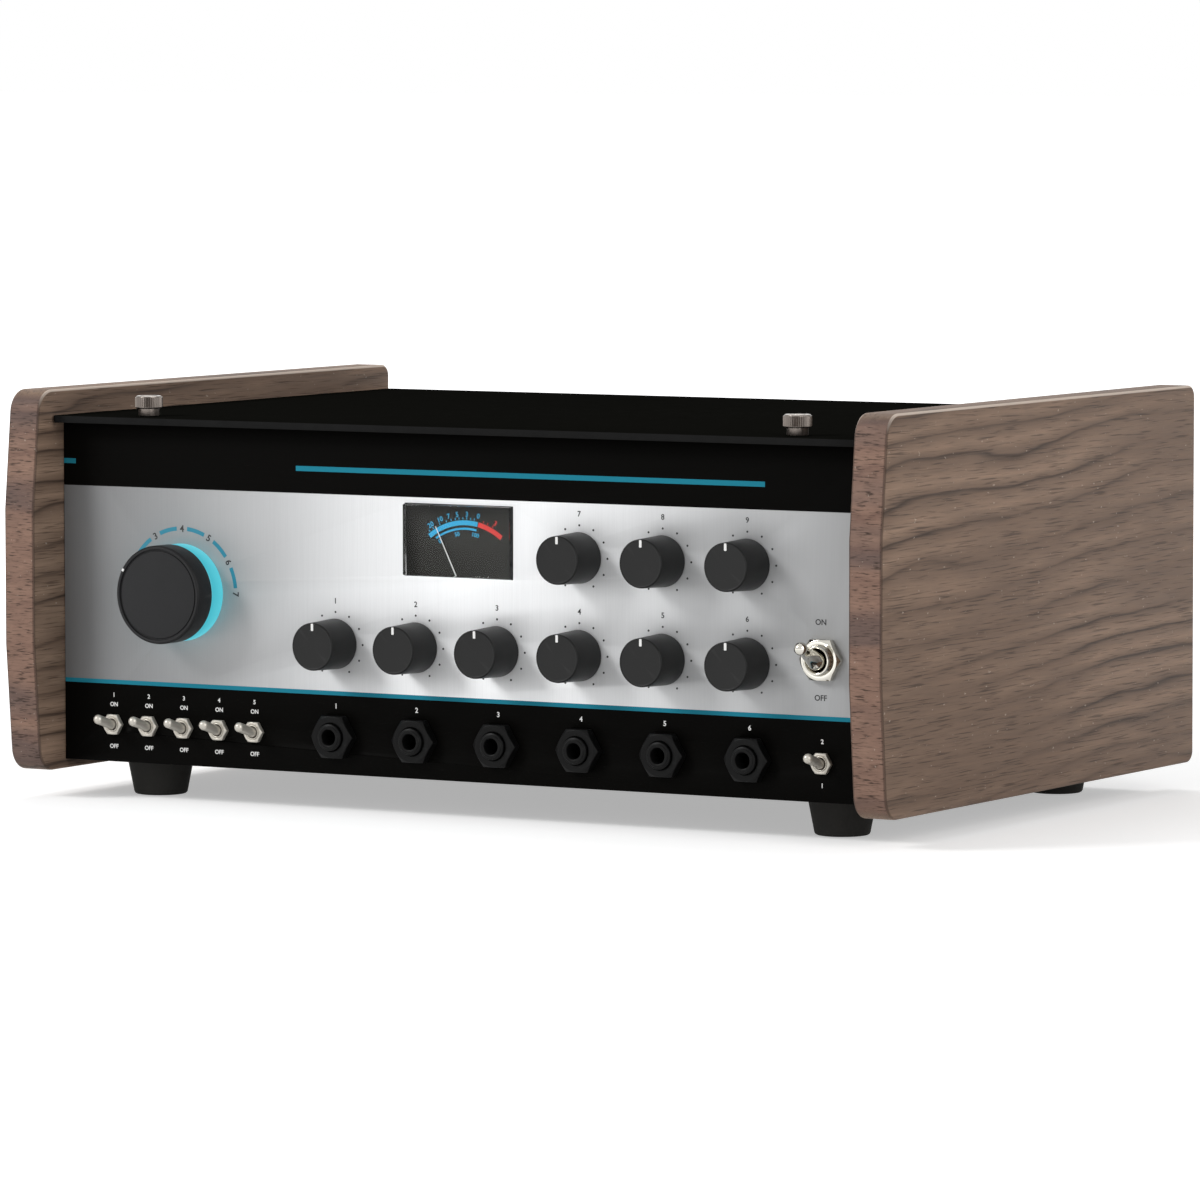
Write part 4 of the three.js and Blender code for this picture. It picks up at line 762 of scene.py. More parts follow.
def buildLid():
    low, high = corners("lid_plate")
    top, under = high.z, panelHigh.z + clearance
    spot = centre("lid_screw_right")
    holes = [circle(lidPlate["hole"], x, spot.y, 32) for x in (-spot.x, spot.x)]
    plate = slab(rectangle(low.x, high.x, low.y, high.y, lidPlate["corner"], 5), under, top, holes)
    piece("lid_sheet", plate, "lidBlack", ["lid_plate"], "lid", edge=lidPlate["edge"],
          segments=3)
    axis = pivot("lid_hinge_turn")
    radius, pin, leaf = hinge["knuckle"], hinge["pin"], hinge["leaf"]
    across = Matrix.Rotation(math.pi / 2, 4, "Y")

    def knuckle(x0, x1):
        bore = pin + 0.35
        ring = [(bore, x0, 0), (radius, x0, 0.25), (radius, x1, 0.25), (bore, x1, 0)]
        return moved(turned(ring, 32, 2, closed=True), 0, axis.y, axis.z, across)

    moving, fixed = [], []
    for x0, x1 in hingeSpans(1):
        moving += [knuckle(x0, x1), block(x0, x1, axis.y, axis.y + hinge["flap"], under - leaf, under),
                   block(x0, x1, axis.y + radius - leaf, axis.y + radius, axis.z, under - leaf)]
    piece("lid_knuckles", together(*moving), "zinc", body="lid", edge=0.12)
    leafLow, leafHigh = corners("lid_hinge")
    wall = leafLow.y
    for x0, x1 in hingeSpans(0):
        fixed += [knuckle(x0, x1), block(x0, x1, wall, axis.y, axis.z - radius, axis.z - radius + leaf)]
    rod = [(0, leafLow.x), (pin, leafLow.x, 0.2), (pin, leafHigh.x, 0.2), (0, leafHigh.x)]
    fixed.append(moved(turned(rod, 24, 2), 0, axis.y, axis.z, across))
    fixed.append(block(leafLow.x, leafHigh.x, wall, wall + leaf / 2, leafLow.z, axis.z - radius + leaf / 2))
    piece("hinge_leaf", together(*fixed), "zinc", ["lid_hinge"], edge=0.12)


buildCase()
buildLid()

# Feet
foot = dict(topRadius=14, toeRadius=11, toe=1.4, hole=4, holeDepth=6, washer=3.6, washerThick=1.0)


def buildFeet():
    for name in ("front_left", "front_right", "rear_left", "rear_right"):
        low, high = corners("foot_" + name)
        spot = (low + high) / 2
        profile = [(0, foot["holeDepth"]), (foot["hole"], foot["holeDepth"]), (foot["hole"], 0, 0.4),
                   (foot["toeRadius"], 0, foot["toe"]), (foot["topRadius"], high.z, 0.3), (0, high.z)]
        piece(f"foot_{name}_rubber", moved(turned(profile), spot.x, spot.y), "rubber",
              [f"foot_{name}"])
        top = foot["holeDepth"] - 0.02
        head = turned([(0, top - 1.8), (2.6, top - 1.8, 0.6), (2.6, top - foot["washerThick"]),
                       (foot["washer"], top - foot["washerThick"], 0.2), (foot["washer"], top), (0, top)], 32, 2)
        piece(f"foot_{name}_screw", moved(head, spot.x, spot.y), "steel")


buildFeet()

# Knurled thumbscrews
thumbscrew = dict(ridges=44, ridge=0.42, head=5.35, neck=4.4, neckTall=3.0, shank=2.0, reach=9.0)


def knurlTree():
    tree, given, out = nodeTree("knurl", [
        ("Count", "Int", 44), ("Radius", "Float", 0.005),
        ("Ridge", "Float", 0.0004), ("Height", "Float", 0.004),
        ("Material", "Material", None)])
    index = addNode(tree, "GeometryNodeInputIndex").outputs[0]
    angle = maths(tree, "MULTIPLY", index, maths(tree, "DIVIDE", math.tau, given["Count"]))
    place = addNode(tree, "ShaderNodeCombineXYZ", {
        0: maths(tree, "MULTIPLY", maths(tree, "COSINE", angle), given["Radius"]),
        1: maths(tree, "MULTIPLY", maths(tree, "SINE", angle), given["Radius"])}).outputs[0]
    spots = addNode(tree, "GeometryNodePoints", {"Count": given["Count"], "Position": place})
    ridge = addNode(tree, "GeometryNodeMeshCylinder", {"Vertices": 4, "Radius": given["Ridge"],
                                                       "Depth": given["Height"]})
    spin = addNode(tree, "ShaderNodeCombineXYZ", {2: angle}).outputs[0]
    ring = addNode(tree, "GeometryNodeInstanceOnPoints", {
        "Points": spots.outputs[0], "Instance": ridge.outputs[0], "Rotation": spin})
    heads = addNode(tree, "GeometryNodeInstanceOnPoints", {
        "Points": given["Geometry"], "Instance": ring.outputs[0]})
    endTree(tree, heads.outputs[0], given["Material"], out)
    return tree


def buildThumbscrews():
    tree = knurlTree()
    for side in ("left", "right"):
        low, high = corners(f"lid_screw_{side}")
        spot = (low + high) / 2
        head, neck, shank = thumbscrew["head"], thumbscrew["neck"], thumbscrew["shank"]
        seat = low.z + thumbscrew["reach"]
        headLow = seat + thumbscrew["neckTall"]
        profile = [(0, low.z), (shank, low.z, 0.4), (shank, seat), (neck, seat, 0.2), (neck, headLow),
                   (head, headLow, 0.5), (head, high.z, 0.6), (head - 1.6, high.z),
                   (head - 1.9, high.z - 0.25, 0.1), (0, high.z - 0.25)]
        piece(f"thumbscrew_{side}", moved(turned(profile), spot.x, spot.y), "knurled",
              [f"lid_screw_{side}"], f"screw_{side}")
        grown(f"thumbscrew_{side}_knurl", [(spot.x, spot.y, (headLow + high.z) / 2)], tree, {
            "Count": thumbscrew["ridges"], "Radius": head * mm, "Ridge": thumbscrew["ridge"] * mm,
            "Height": (high.z - headLow - 1.3) * mm, "Material": paint["knurled"]},
            f"screw_{side}")


buildThumbscrews()
print("case, lid, feet and thumbscrews ready")


# Everything on the panel is drawn with X right, Y up and Z out of the panel
def onPanel(form, x, z):
    return moved(form, x, panelY, z, forward)


knob = dict(base=10.35, face=9.75, edge=0.45, recess=7.6, recessDeep=4.5, shaft=3.0,
            mark=(6.5, 9.45), markWide=1.1)
modeKnob = dict(radius=20.3, rim=1.5, sink=0.5, edge=0.7, mark=-60, markLong=1.3, markWide=1.1)
knobNames = [f"lower_{i}" for i in range(1, 7)] + [f"upper_{i}" for i in range(1, 4)]


def bodyOfKnob(name):
    row, number = name.split("_")
    return f"{row}_knob_{number}"


def buildKnobs():
    for name in knobNames:
        low, high = corners("knob_" + name)
        spot = (low + high) / 2
        back, front, end = panelY - clearance, low.y, high.y
        tall, foot = panelY - front, panelY - back
        profile = [(0, tall - 0.12), (knob["face"] - knob["edge"] - 0.5, tall - 0.12, 0.1),
                   (knob["face"] - knob["edge"] - 0.25, tall, 0.1), (knob["face"] - knob["edge"], tall, 0.15),
                   (knob["face"], tall - knob["edge"], 0.3), (knob["base"], foot, 0.3), (knob["recess"], foot),
                   (knob["recess"], foot + knob["recessDeep"]), (knob["shaft"], foot + knob["recessDeep"]),
                   (knob["shaft"], panelY - end), (0, panelY - end)]
        body = bodyOfKnob(name)
        piece(f"knob_{name}_cap", onPanel(turned(profile, 96, 3), spot.x, spot.z), "knobBlack",
              ["knob_" + name], body)
        half = knob["markWide"] / 2
        mark = slab(rectangle(-half, half, *knob["mark"], 0.25, 3), tall - 0.15, tall + 0.02)
        piece(f"knob_{name}_mark", onPanel(mark, spot.x, spot.z), "whitePaint", body=body)


def buildModeKnob():
    low, high = corners("mode_knob")
    ring = corners("light_ring")[0].y
    spot = (low + high) / 2
    front, back, end = panelY - low.y, panelY - ring + clearance, panelY - high.y
    radius, rim, sink, edge = (modeKnob[key] for key in ("radius", "rim", "sink", "edge"))
    inner, face = radius - rim, front - sink
    profile = [(0, face), (inner - 0.9, face, 0.2), (inner - 0.7, face - 0.35), (inner - 0.2, face - 0.35),
               (inner, front, 0.25), (radius - edge, front, 0.25), (radius, front - edge, 0.35),
               (radius, back, 0.4), (3.0, back), (3.0, end), (0, end)]
    piece("mode_knob_cap", onPanel(turned(profile, 128, 3), spot.x, spot.z), "modeBlack",
          ["mode_knob"], "selector")
    half = modeKnob["markWide"] / 2
    mark = slab(rectangle(-half, half, radius - modeKnob["markLong"], radius - 0.35, 0.2, 3), front,
                front + 0.05)
    turn = Matrix.Rotation(math.radians(-modeKnob["mark"]), 4, "Z")
    piece("mode_knob_mark", onPanel(moved(mark, turn=turn), spot.x, spot.z), "whitePaint",
          body="selector")
    ringLow, ringHigh = corners("light_ring")
    outer, deep = (ringHigh.x - ringLow.x) / 2, panelY - ringLow.y
    ringProfile = [(8, 0), (outer, 0, 0.3), (outer, deep, 0.5), (8, deep)]
    piece("mode_ring", onPanel(turned(ringProfile, 128, 3, closed=True), spot.x, spot.z), "ringGlow",
          ["light_ring"])


buildKnobs()
buildModeKnob()
print("knobs ready")


def arc(radius, middle, start, end, steps=8):  # a stretch of a round profile, angles from its equator
    angles = [math.radians(start + (end - start) * i / steps) for i in range(steps + 1)]
    return [(max(0.0, radius * math.cos(a)), middle + radius * math.sin(a)) for a in angles]


def bushing(look, nose, end, rounding):  # a bored bush from behind the panel to its nose
    bore, bush = look["bore"], look["bush"]
    return turned([(bore, -look["boreDeep"]), (bore, nose, rounding), (bush, nose, rounding), (bush, end),
                   (bore + 0.1, end)], 48, 2, closed=True)


# Toggle switches
toggle = dict(nut=8.2, nutThick=2.2, bush=3.0, bore=2.5, boreDeep=4, body=(7, 13, 10), tilt=17,
              ball=2.05, neck=1.85, tip=2.0, reach=9.9, tail=0.8, tailLong=3, tabPitch=4.2)
power = dict(nut=16.2, nutThick=3.4, bush=5.9, nose=5.8, bore=4.3, boreDeep=4, body=(18, 30, 22), tilt=24,
             sink=0.6, root=3.85, cone=3.4, neck=2.0, ball=2.7, reach=13.8, tail=1.2, tailLong=4,
             thread=0.8, threadDeep=0.22, tab=(4.8, 0.8, 7), tabReach=4.6, tabPitch=8.5)
rowZ = centre("level_switch").z
powerZ = centre("power_switch").z
rightX = centre("level_switch").x
toggleXs = [centre(f"toggle_lever_{i}").x for i in range(1, 6)]


def tilted(form, x, y, z, degrees):
    return moved(form, x, y, z, Matrix.Rotation(math.radians(-degrees), 4, "X") @ forward)


def buildToggle(name, x, stands=()):
    thick = panelHigh.y - panelLow.y
    nut = hexagonNut(toggle["nut"], toggle["nutThick"], toggle["bush"], chamfer=0.75)
    piece(f"{name}_nut", onPanel(nut, x, rowZ), "nickel", edge=0.12, sharp=28)
    bush = bushing(toggle, toggle["nutThick"], -thick - 0.3, 0.2)
    piece(f"{name}_bush", onPanel(bush, x, rowZ), "nickel", stands)
    wide, tall, deep = toggle["body"]
    behind = -thick - 1.2
    shell = slab(rectangle(-wide / 2, wide / 2, -tall / 2, tall / 2, 0.3, 2), behind, -thick,
                 [circle(toggle["bore"] + 0.1)])
    piece(f"{name}_frame", onPanel(shell, x, rowZ), "nickel", edge=0.15)
    box = slab(rectangle(0.2 - wide / 2, wide / 2 - 0.2, 0.3 - tall / 2, tall / 2 - 0.3, 0.4, 2),
               -thick - deep, behind)
    piece(f"{name}_body", onPanel(box, x, rowZ), "switchRed", edge=0.25)
    pins = [moved(block(-0.6, 0.6, -0.35, 0.35, -thick - deep - 3.2, -thick - deep), 0, k * toggle["tabPitch"])
            for k in (-1, 0, 1)]
    piece(f"{name}_pins", onPanel(together(*pins), x, rowZ), "nickel", edge=0.08)


def buildMiniLever(node, body, x):
    ball, neck, tip, reach, tail = (toggle[key] for key in ("ball", "neck", "tip", "reach", "tail"))
    low = -math.degrees(math.acos(tail / ball))
    high = math.degrees(math.acos(neck / ball))
    profile = [(0, -toggle["tailLong"]), (tail, -toggle["tailLong"])] + arc(ball, 0, low, high, 10)
    profile += arc(tip, reach, 0, 90, 8)
    piece(f"{node}_bat", tilted(turned(profile, 40), x, panelY - toggle["nutThick"], rowZ, toggle["tilt"]),
          "nickel", [node], body, sharp=50)


def buildPower():
    thick = panelHigh.y - panelLow.y
    nut = hexagonNut(power["nut"], power["nutThick"], power["bush"] - 0.15, chamfer=0.8)
    piece("power_nut", onPanel(nut, rightX, powerZ), "chrome", edge=0.2, segments=3,
          sharp=28)
    nose, bore, bush = power["nose"], power["bore"], power["bush"]
    profile = [(bore, -power["boreDeep"]), (bore, nose - 1.2, 0.4), (bore + 0.75, nose, 0.25),
               (bush - 0.15, nose, 0.5)]
    at = nose - 0.75
    while at > power["nutThick"] - 0.4:
        profile += [(bush, at), (bush - power["threadDeep"], at - power["thread"] / 2)]
        at -= power["thread"]
    profile += [(bush - 0.15, 0), (bush - 0.15, -thick - 0.3), (bore + 0.1, -thick - 0.3)]
    piece("power_bush", onPanel(turned(profile, 72, 2, closed=True), rightX, powerZ), "chrome",
          ["power_switch"])
    wide, tall, deep = power["body"]
    plate = slab(rectangle(-wide / 2, wide / 2, -tall / 2, tall / 2, 0.8, 3), -thick - 1.6, -thick,
                 [circle(bore + 0.1)])
    piece("power_frame", onPanel(plate, rightX, powerZ), "nickel", edge=0.2)
    box = slab(rectangle(0.3 - wide / 2, wide / 2 - 0.3, 0.6 - tall / 2, tall / 2 - 0.6, 0.8, 3), -thick - deep,
               -thick - 1.6)
    piece("power_body", onPanel(box, rightX, powerZ), "caseBlack", edge=0.5)
    width, flat, long = power["tab"]
    tabs = [moved(block(-width / 2, width / 2, -flat / 2, flat / 2, -thick - deep - long, -thick - deep),
                  sx * power["tabReach"], k * power["tabPitch"]) for sx in (-1, 1) for k in (-1, 0, 1)]
    piece("power_tabs", onPanel(together(*tabs), rightX, powerZ), "brass", edge=0.1)
    root, cone, neck, ball, tail = (power[key] for key in ("root", "cone", "neck", "ball", "tail"))
    end = root + power["tailLong"]
    low, high = -math.degrees(math.acos(tail / root)), math.degrees(math.acos(cone / root))
    profile = [(0, -end), (tail, -end)] + arc(root, 0, low, high, 12)
    profile += arc(ball, power["reach"], -math.degrees(math.acos(neck / ball)), 90, 14)
    piece("power_bat", tilted(turned(profile, 64), rightX, panelY - nose + power["sink"], powerZ, power["tilt"]),
          "chrome", ["power_lever"], "lever_power", sharp=60)


def buildSwitches():
    for i, x in enumerate(toggleXs, 1):
        buildToggle(f"toggle_{i}", x)
        buildMiniLever(f"toggle_lever_{i}", f"lever_{i}", x)
    buildToggle("level", rightX, ["level_switch"])
    buildMiniLever("level_lever", "lever_level", rightX)
    buildPower()


buildSwitches()

# Rotary switch and the board behind the toggles
sheet = dict(thick=1.6, edge=0.1)
leftBoard = dict(corner=1.5, hole=1.6, inset=4, holeLow=17)
rotary = dict(radius=14, deep=20, bush=4.4, nose=6, bore=3.35, boreDeep=8, nut=12, nutThick=2.5, pins=12)


def buildLeftBoard():
    spot = centre("mode_knob")
    thick = panelHigh.y - panelLow.y
    low, high = corners("left_board")
    boardFront = panelHigh.y + toggle["body"][2]
    inset = leftBoard["inset"]
    holes = [circle(leftBoard["hole"], x, z, 24) for z in (low.z + leftBoard["holeLow"], high.z - inset)
             for x in (low.x + inset, high.x - inset)]
    board = slab(rectangle(low.x, high.x, low.z, high.z, leftBoard["corner"], 3), 0, sheet["thick"], holes)
    piece("left_board_sheet", moved(board, 0, boardFront + sheet["thick"], 0, forward), "boardGreen",
          ["left_board"], edge=sheet["edge"])
    nut = hexagonNut(rotary["nut"], rotary["nutThick"], rotary["bush"])
    piece("mode_nut", onPanel(nut, spot.x, spot.z), "nickel", edge=0.15)
    bush = bushing(rotary, rotary["nose"], -thick, 0.3)
    piece("mode_bush", onPanel(bush, spot.x, spot.z), "nickel")
    radius, deep = rotary["radius"], rotary["deep"]
    front = turned([(rotary["bore"] + 0.2, -thick), (radius, -thick, 0.4), (radius, -thick - 2.2, 0.4),
                    (rotary["bore"] + 0.2, -thick - 2.2)], 64, 2, closed=True)
    piece("mode_switch_plate", onPanel(front, spot.x, spot.z), "nickel")
    core = turned([(0, -thick - 5), (4, -thick - 5), (4, -thick - 2.2), (radius - 0.4, -thick - 2.2),
                   (radius - 0.4, -thick - deep + 3, 0.6), (radius - 2.4, -thick - deep + 3),
                   (radius - 2.4, -thick - deep, 0.8), (0, -thick - deep)], 64, 3)
    piece("mode_switch_body", onPanel(core, spot.x, spot.z), "socketBlack")
    pins = [moved(block(-0.5, 0.5, -0.3, 0.3, -thick - deep, -thick - deep + 3), place.x, place.y)
            for place in circle(radius - 1.6, sides=rotary["pins"])]
    piece("mode_switch_pins", onPanel(together(*pins), spot.x, spot.z), "brass")


buildLeftBoard()

# Sockets for 6.35 mm plugs
jack = dict(bore=3.25, bush=5.65, nose=6.3, nut=17.2, nutThick=4.6, body=16, deep=26, boreDeep=24)


def squareRing(half, height, sides):
    ring = []
    for k in range(sides):
        angle = math.tau * k / sides
        x, y = math.cos(angle), math.sin(angle)
        reach = half / max(abs(x), abs(y))
        ring.append((x * reach, y * reach, height))
    return ring


def buildJacks():
    thick = panelHigh.y - panelLow.y
    half, deep, sides = jack["body"] / 2, jack["deep"], 48
    nose, bore, bush = jack["nose"], jack["bore"], jack["bush"]
    for i in range(1, 7):
        x = centre(f"jack_{i}").x
        nut = hexagonNut(jack["nut"], jack["nutThick"], bush + 0.12, chamfer=0.62)
        piece(f"jack_{i}_nut", onPanel(nut, x, rowZ), "socketBlack", edge=0.22,
              segments=3, sharp=28)
        ring = turned([(bore, -thick - 0.2), (bore, nose, 0.45), (bush - 1.1, nose, 0.2),
                       (bush - 0.9, nose - 0.3), (bush - 0.2, nose - 0.5, 0.4), (bush, nose - 1.3, 0.2),
                       (bush - 0.25, nose - 1.5), (bush - 0.25, -thick - 0.2)], 64, 3, closed=True)
        piece(f"jack_{i}_bush", onPanel(ring, x, rowZ), "socketBlack")
        box = lofted([[(0, 0, -jack["boreDeep"])], roundRing(bore, -jack["boreDeep"], sides),
                      roundRing(bore, -thick, sides), squareRing(half, -thick, sides),
                      squareRing(half, -thick - deep, sides), [(0, 0, -thick - deep)]])
        piece(f"jack_{i}_body", onPanel(box, x, rowZ), "boreBlack", [f"jack_{i}"],
              edge=0.4)
        lugs = [moved(block(-0.25, 0.25, -1.6, 1.6, -thick - deep - 4.5, -thick - deep), sx * 5.2, sy * 4.6)
                for sx, sy in ((-1, 1), (1, 1), (0, -1))]
        piece(f"jack_{i}_lugs", onPanel(together(*lugs), x, rowZ), "brass", edge=0.1)


buildJacks()
print("switches and sockets ready")

# Level meter
meter = dict(edge=0.5, wall=1.0, rim=2.0, plate=0.25, coil=17, pin=0.8, hand=0.5, handTip=0.24, handThick=0.3,
             hub=2.2, tail=4.0, reach=28.3, lean=25.6, ink=0.06,
             boxDeep=12, dialGap=1.3, stud=1.5, studLong=5, studReach=20, studRise=10)
dial = dict(middle=1.0, radius=28.1, band=1.9, cyan=(-37.5, 12.0), red=(12.8, 37.5), inner=25.2, innerBand=0.8,
            innerSpan=(-33.0, 12.0), figures=30.5, tall=2.0, lower=22.9, weight=0.012,
            tick=0.32, tickLong=0.8, tickGap=0.35, ticks=(-35, -31, -24, -17.5, -13, -9, -5.5, -2, 1.5, 5, 8.5),
            redTicks=(17, 21, 26), redMark=("3", 27),
            marks=(("20", -31.5), ("10", -22), ("7", -14.5), ("5", -7), ("3", 1.5), ("0", 11.5)),
            lowerTall=1.7, lowerMarks=(("0", -31), ("50", -9.5), ("100", 12)))


def arcBand(outer, wide, start, end, low, high, x=0.0, y=0.0, steps=36):  # angles clockwise from straight up
    def ring(radius, order):
        return [(x + radius * math.sin(math.radians(start + (end - start) * i / steps)),
                 y + radius * math.cos(math.radians(start + (end - start) * i / steps))) for i in order]
    return slab(ring(outer, range(steps + 1)) + ring(outer - wide, range(steps, -1, -1)), low, high)


def lettering(words, tall, thick, weight=0.0):  # figures made a mesh, centred, facing +Z
    curve = bpy.data.curves.new(words, "FONT")
    curve.body = words
    curve.offset = weight
    curve.extrude = 0.5
    curve.resolution_u = 4
    holder = bpy.data.objects.new("figures", curve)
    scene.collection.objects.link(holder)
    shape = bpy.data.meshes.new_from_object(holder.evaluated_get(bpy.context.evaluated_depsgraph_get()))
    form = bmesh.new()
    form.from_mesh(shape)
    bpy.data.objects.remove(holder)
    bpy.data.curves.remove(curve)
    bpy.data.meshes.remove(shape)
    bmesh.ops.remove_doubles(form, verts=form.verts, dist=1e-5)
    low = Vector([min(v.co[i] for v in form.verts) for i in range(3)])
    high = Vector([max(v.co[i] for v in form.verts) for i in range(3)])
    size = tall / (high.y - low.y)
    middle = (low + high) / 2
    form.transform(Matrix.Diagonal((size, size, thick, 1)) @ Matrix.Translation((-middle.x, -middle.y, 0.5)))
    return form


def turnedUpright(form, radius, angle, x=0.0, y=0.0):  # on a circle, tops outwards, clockwise from straight up
    spin = Matrix.Rotation(-math.radians(angle), 4, "Z")
    place = spin @ Vector((0, radius, 0))
    return moved(form, x + place.x, y + place.y, 0, spin)


def buildMeter():
    low, high = corners("meter_window")
    spot = (low + high) / 2
    wide, tall = (high.x - low.x) / 2, (high.z - low.z) / 2
    glass = slab(rectangle(-wide, wide, -tall, tall, 0.6, 3), panelY - high.y, panelY - low.y)
    piece("meter_glass", onPanel(glass, spot.x, spot.z), "clearBlock",
          ["meter_window"], edge=meter["edge"], segments=3)
    caseLow, caseHigh = corners("meter_case")
    left, right = caseLow.x, caseHigh.x
    bottom, top = caseLow.z, spot.z + tall + meter["rim"]
    front = panelHigh.y
    needleY = centre("meter_needle").y
    dialBack = needleY + meter["dialGap"]
    boxBack = front + meter["boxDeep"]
    wall = meter["wall"]

    def frameRing(inset, y, insetLow=None):
        base = bottom + (insetLow or inset)
        return [(left + inset, y, base), (right - inset, y, base), (right - inset, y, top - inset),
                (left + inset, y, top - inset)]

    shell = lofted([frameRing(wall, dialBack, 2 * wall), frameRing(wall, front, 2 * wall), frameRing(0, front),
                    frameRing(0, boxBack)], caps=True)
    piece("meter_shell", shell, "socketBlack", ["meter_case"], edge=0.3)
    pinZ = pivot("needle_swing").z
    pinX = (caseLow.x + caseHigh.x) / 2
    coil, deep = meter["coil"], caseHigh.y - boxBack
    cover = turned([(0, 0), (coil, 0), (coil, deep, 1.2), (0, deep)], 72, 3)
    piece("meter_coil_cover", moved(cover, pinX, boxBack, pinZ + coil, backward), "nickel")
    stud, long = meter["stud"], meter["studLong"]
    studs = [moved(turned([(0, 0), (stud, 0), (stud, long, 0.3), (0, long)], 24, 2), x, boxBack,
                   bottom + meter["studRise"], backward)
             for x in (pinX - meter["studReach"], pinX + meter["studReach"])]
    piece("meter_studs", together(*studs), "brass")
    plate = block(left + wall + 0.1, right - wall - 0.1, dialBack - meter["plate"], dialBack - 0.02,
                  bottom + 2 * wall + 0.1, top - wall - 0.1)
    piece("meter_dial", plate, "dialGrey")
    face = dialBack - meter["plate"]
    middle = pinX + dial["middle"]
    ink = meter["ink"]
    outer, band = dial["radius"], dial["band"]

    def ticks(angles):
        half = dial["tick"] / 2
        return [turnedUpright(block(-half, half, 0, dial["tickLong"], 0, ink), outer + dial["tickGap"], angle)
                for angle in angles]

    def figures(words, radius, angle, size=dial["tall"]):
        return turnedUpright(lettering(words, size, ink, dial["weight"]), radius, angle)

    blue = [arcBand(outer, band, *dial["cyan"], 0, ink),
            arcBand(dial["inner"], dial["innerBand"], *dial["innerSpan"], 0, ink)]
    blue += ticks(dial["ticks"])
    blue += [figures(words, dial["figures"], angle) for words, angle in dial["marks"]]
    blue += [figures(words, dial["lower"], angle, dial["lowerTall"]) for words, angle in dial["lowerMarks"]]
    piece("meter_scale", moved(together(*blue), middle, face, pinZ, forward), "dialCyan")
    red = [arcBand(outer, band, *dial["red"], 0, ink)] + ticks(dial["redTicks"])
    words, angle = dial["redMark"]
    red += [figures(words, dial["figures"], angle)]
    piece("meter_scale_high", moved(together(*red), middle, face, pinZ, forward), "dialRed")
    half, tip, thick = meter["hand"] / 2, meter["handTip"] / 2, meter["handThick"]
    hand = slab([(-half, -meter["tail"]), (half, -meter["tail"]), (half, 2), (tip, meter["reach"]),
                 (-tip, meter["reach"]), (-half, 2)], -thick / 2, thick / 2)
    hub = turned([(meter["pin"] + 0.1, -0.25), (meter["hub"], -0.25, 0.1), (meter["hub"], 0.25, 0.1),
                  (meter["pin"] + 0.1, 0.25)], 36, 2, closed=True)
    lean = Matrix.Rotation(math.radians(meter["lean"]), 4, "Z")
    piece("needle_hand", moved(together(hand, hub), pinX, needleY, pinZ, forward @ lean), "whitePaint",
          ["meter_needle"], "needle")
    radius, reach = meter["pin"], dialBack - front - 0.4
    pin = turned([(0, 0), (radius, 0), (radius, reach, 0.2), (0, reach)], 24, 2)
    piece("meter_pin", moved(pin, pinX, dialBack, pinZ, forward), "steel")


buildMeter()
print("meter ready")

# Printing on the panel: plain figures, ON and OFF, scale dots and arcs
printing = dict(ink=0.05, dotRadius=0.45, dotCircle=13.0, dotCount=11, dotStep=30, figure=2.3, figureRise=17.6,
                weight=0.02, modeRadius=26.3, modeTall=2.9, modeArc=1.7, modeGap=5.6, modeStart=-90,
                modeStep=30, modePlaces=7, jackRise=12.5, jackTall=2.1, powerTall=2.35, powerShift=0.7,
                powerWords=(("ON", 86.7), ("OFF", 56.8)), toggleTall=1.8, toggleFigure=43.3,
                toggleWords=(("ON", 39.4), ("OFF", 21.9)), levelTall=1.9, levelWords=(("2", 39.6), ("1", 22.2)))


def dotTree():
    tree, given, out = nodeTree("scaleDots", [
        ("Count", "Int", 11), ("Step", "Float", 0.5), ("Circle", "Float", 0.013),
        ("Radius", "Float", 0.0004), ("Thick", "Float", 0.0001),
        ("Material", "Material", None)])
    index = addNode(tree, "GeometryNodeInputIndex").outputs[0]
    middle = maths(tree, "MULTIPLY", maths(tree, "SUBTRACT", given["Count"], 1.0), 0.5)
    angle = maths(tree, "MULTIPLY", maths(tree, "SUBTRACT", index, middle), given["Step"])
    place = addNode(tree, "ShaderNodeCombineXYZ", {
        0: maths(tree, "MULTIPLY", maths(tree, "SINE", angle), given["Circle"]),
        2: maths(tree, "MULTIPLY", maths(tree, "COSINE", angle), given["Circle"])}).outputs[0]
    spots = addNode(tree, "GeometryNodePoints", {"Count": given["Count"], "Position": place})
    disc = addNode(tree, "GeometryNodeMeshCylinder", {"Vertices": 16, "Radius": given["Radius"],
                                                      "Depth": given["Thick"]})
    facing = addNode(tree, "FunctionNodeInputVector", vector=(math.pi / 2, 0, 0)).outputs[0]
    ring = addNode(tree, "GeometryNodeInstanceOnPoints", {
        "Points": spots.outputs[0], "Instance": disc.outputs[0], "Rotation": facing})
    rings = addNode(tree, "GeometryNodeInstanceOnPoints", {
        "Points": given["Geometry"], "Instance": ring.outputs[0]})
    endTree(tree, rings.outputs[0], given["Material"], out)
    return tree


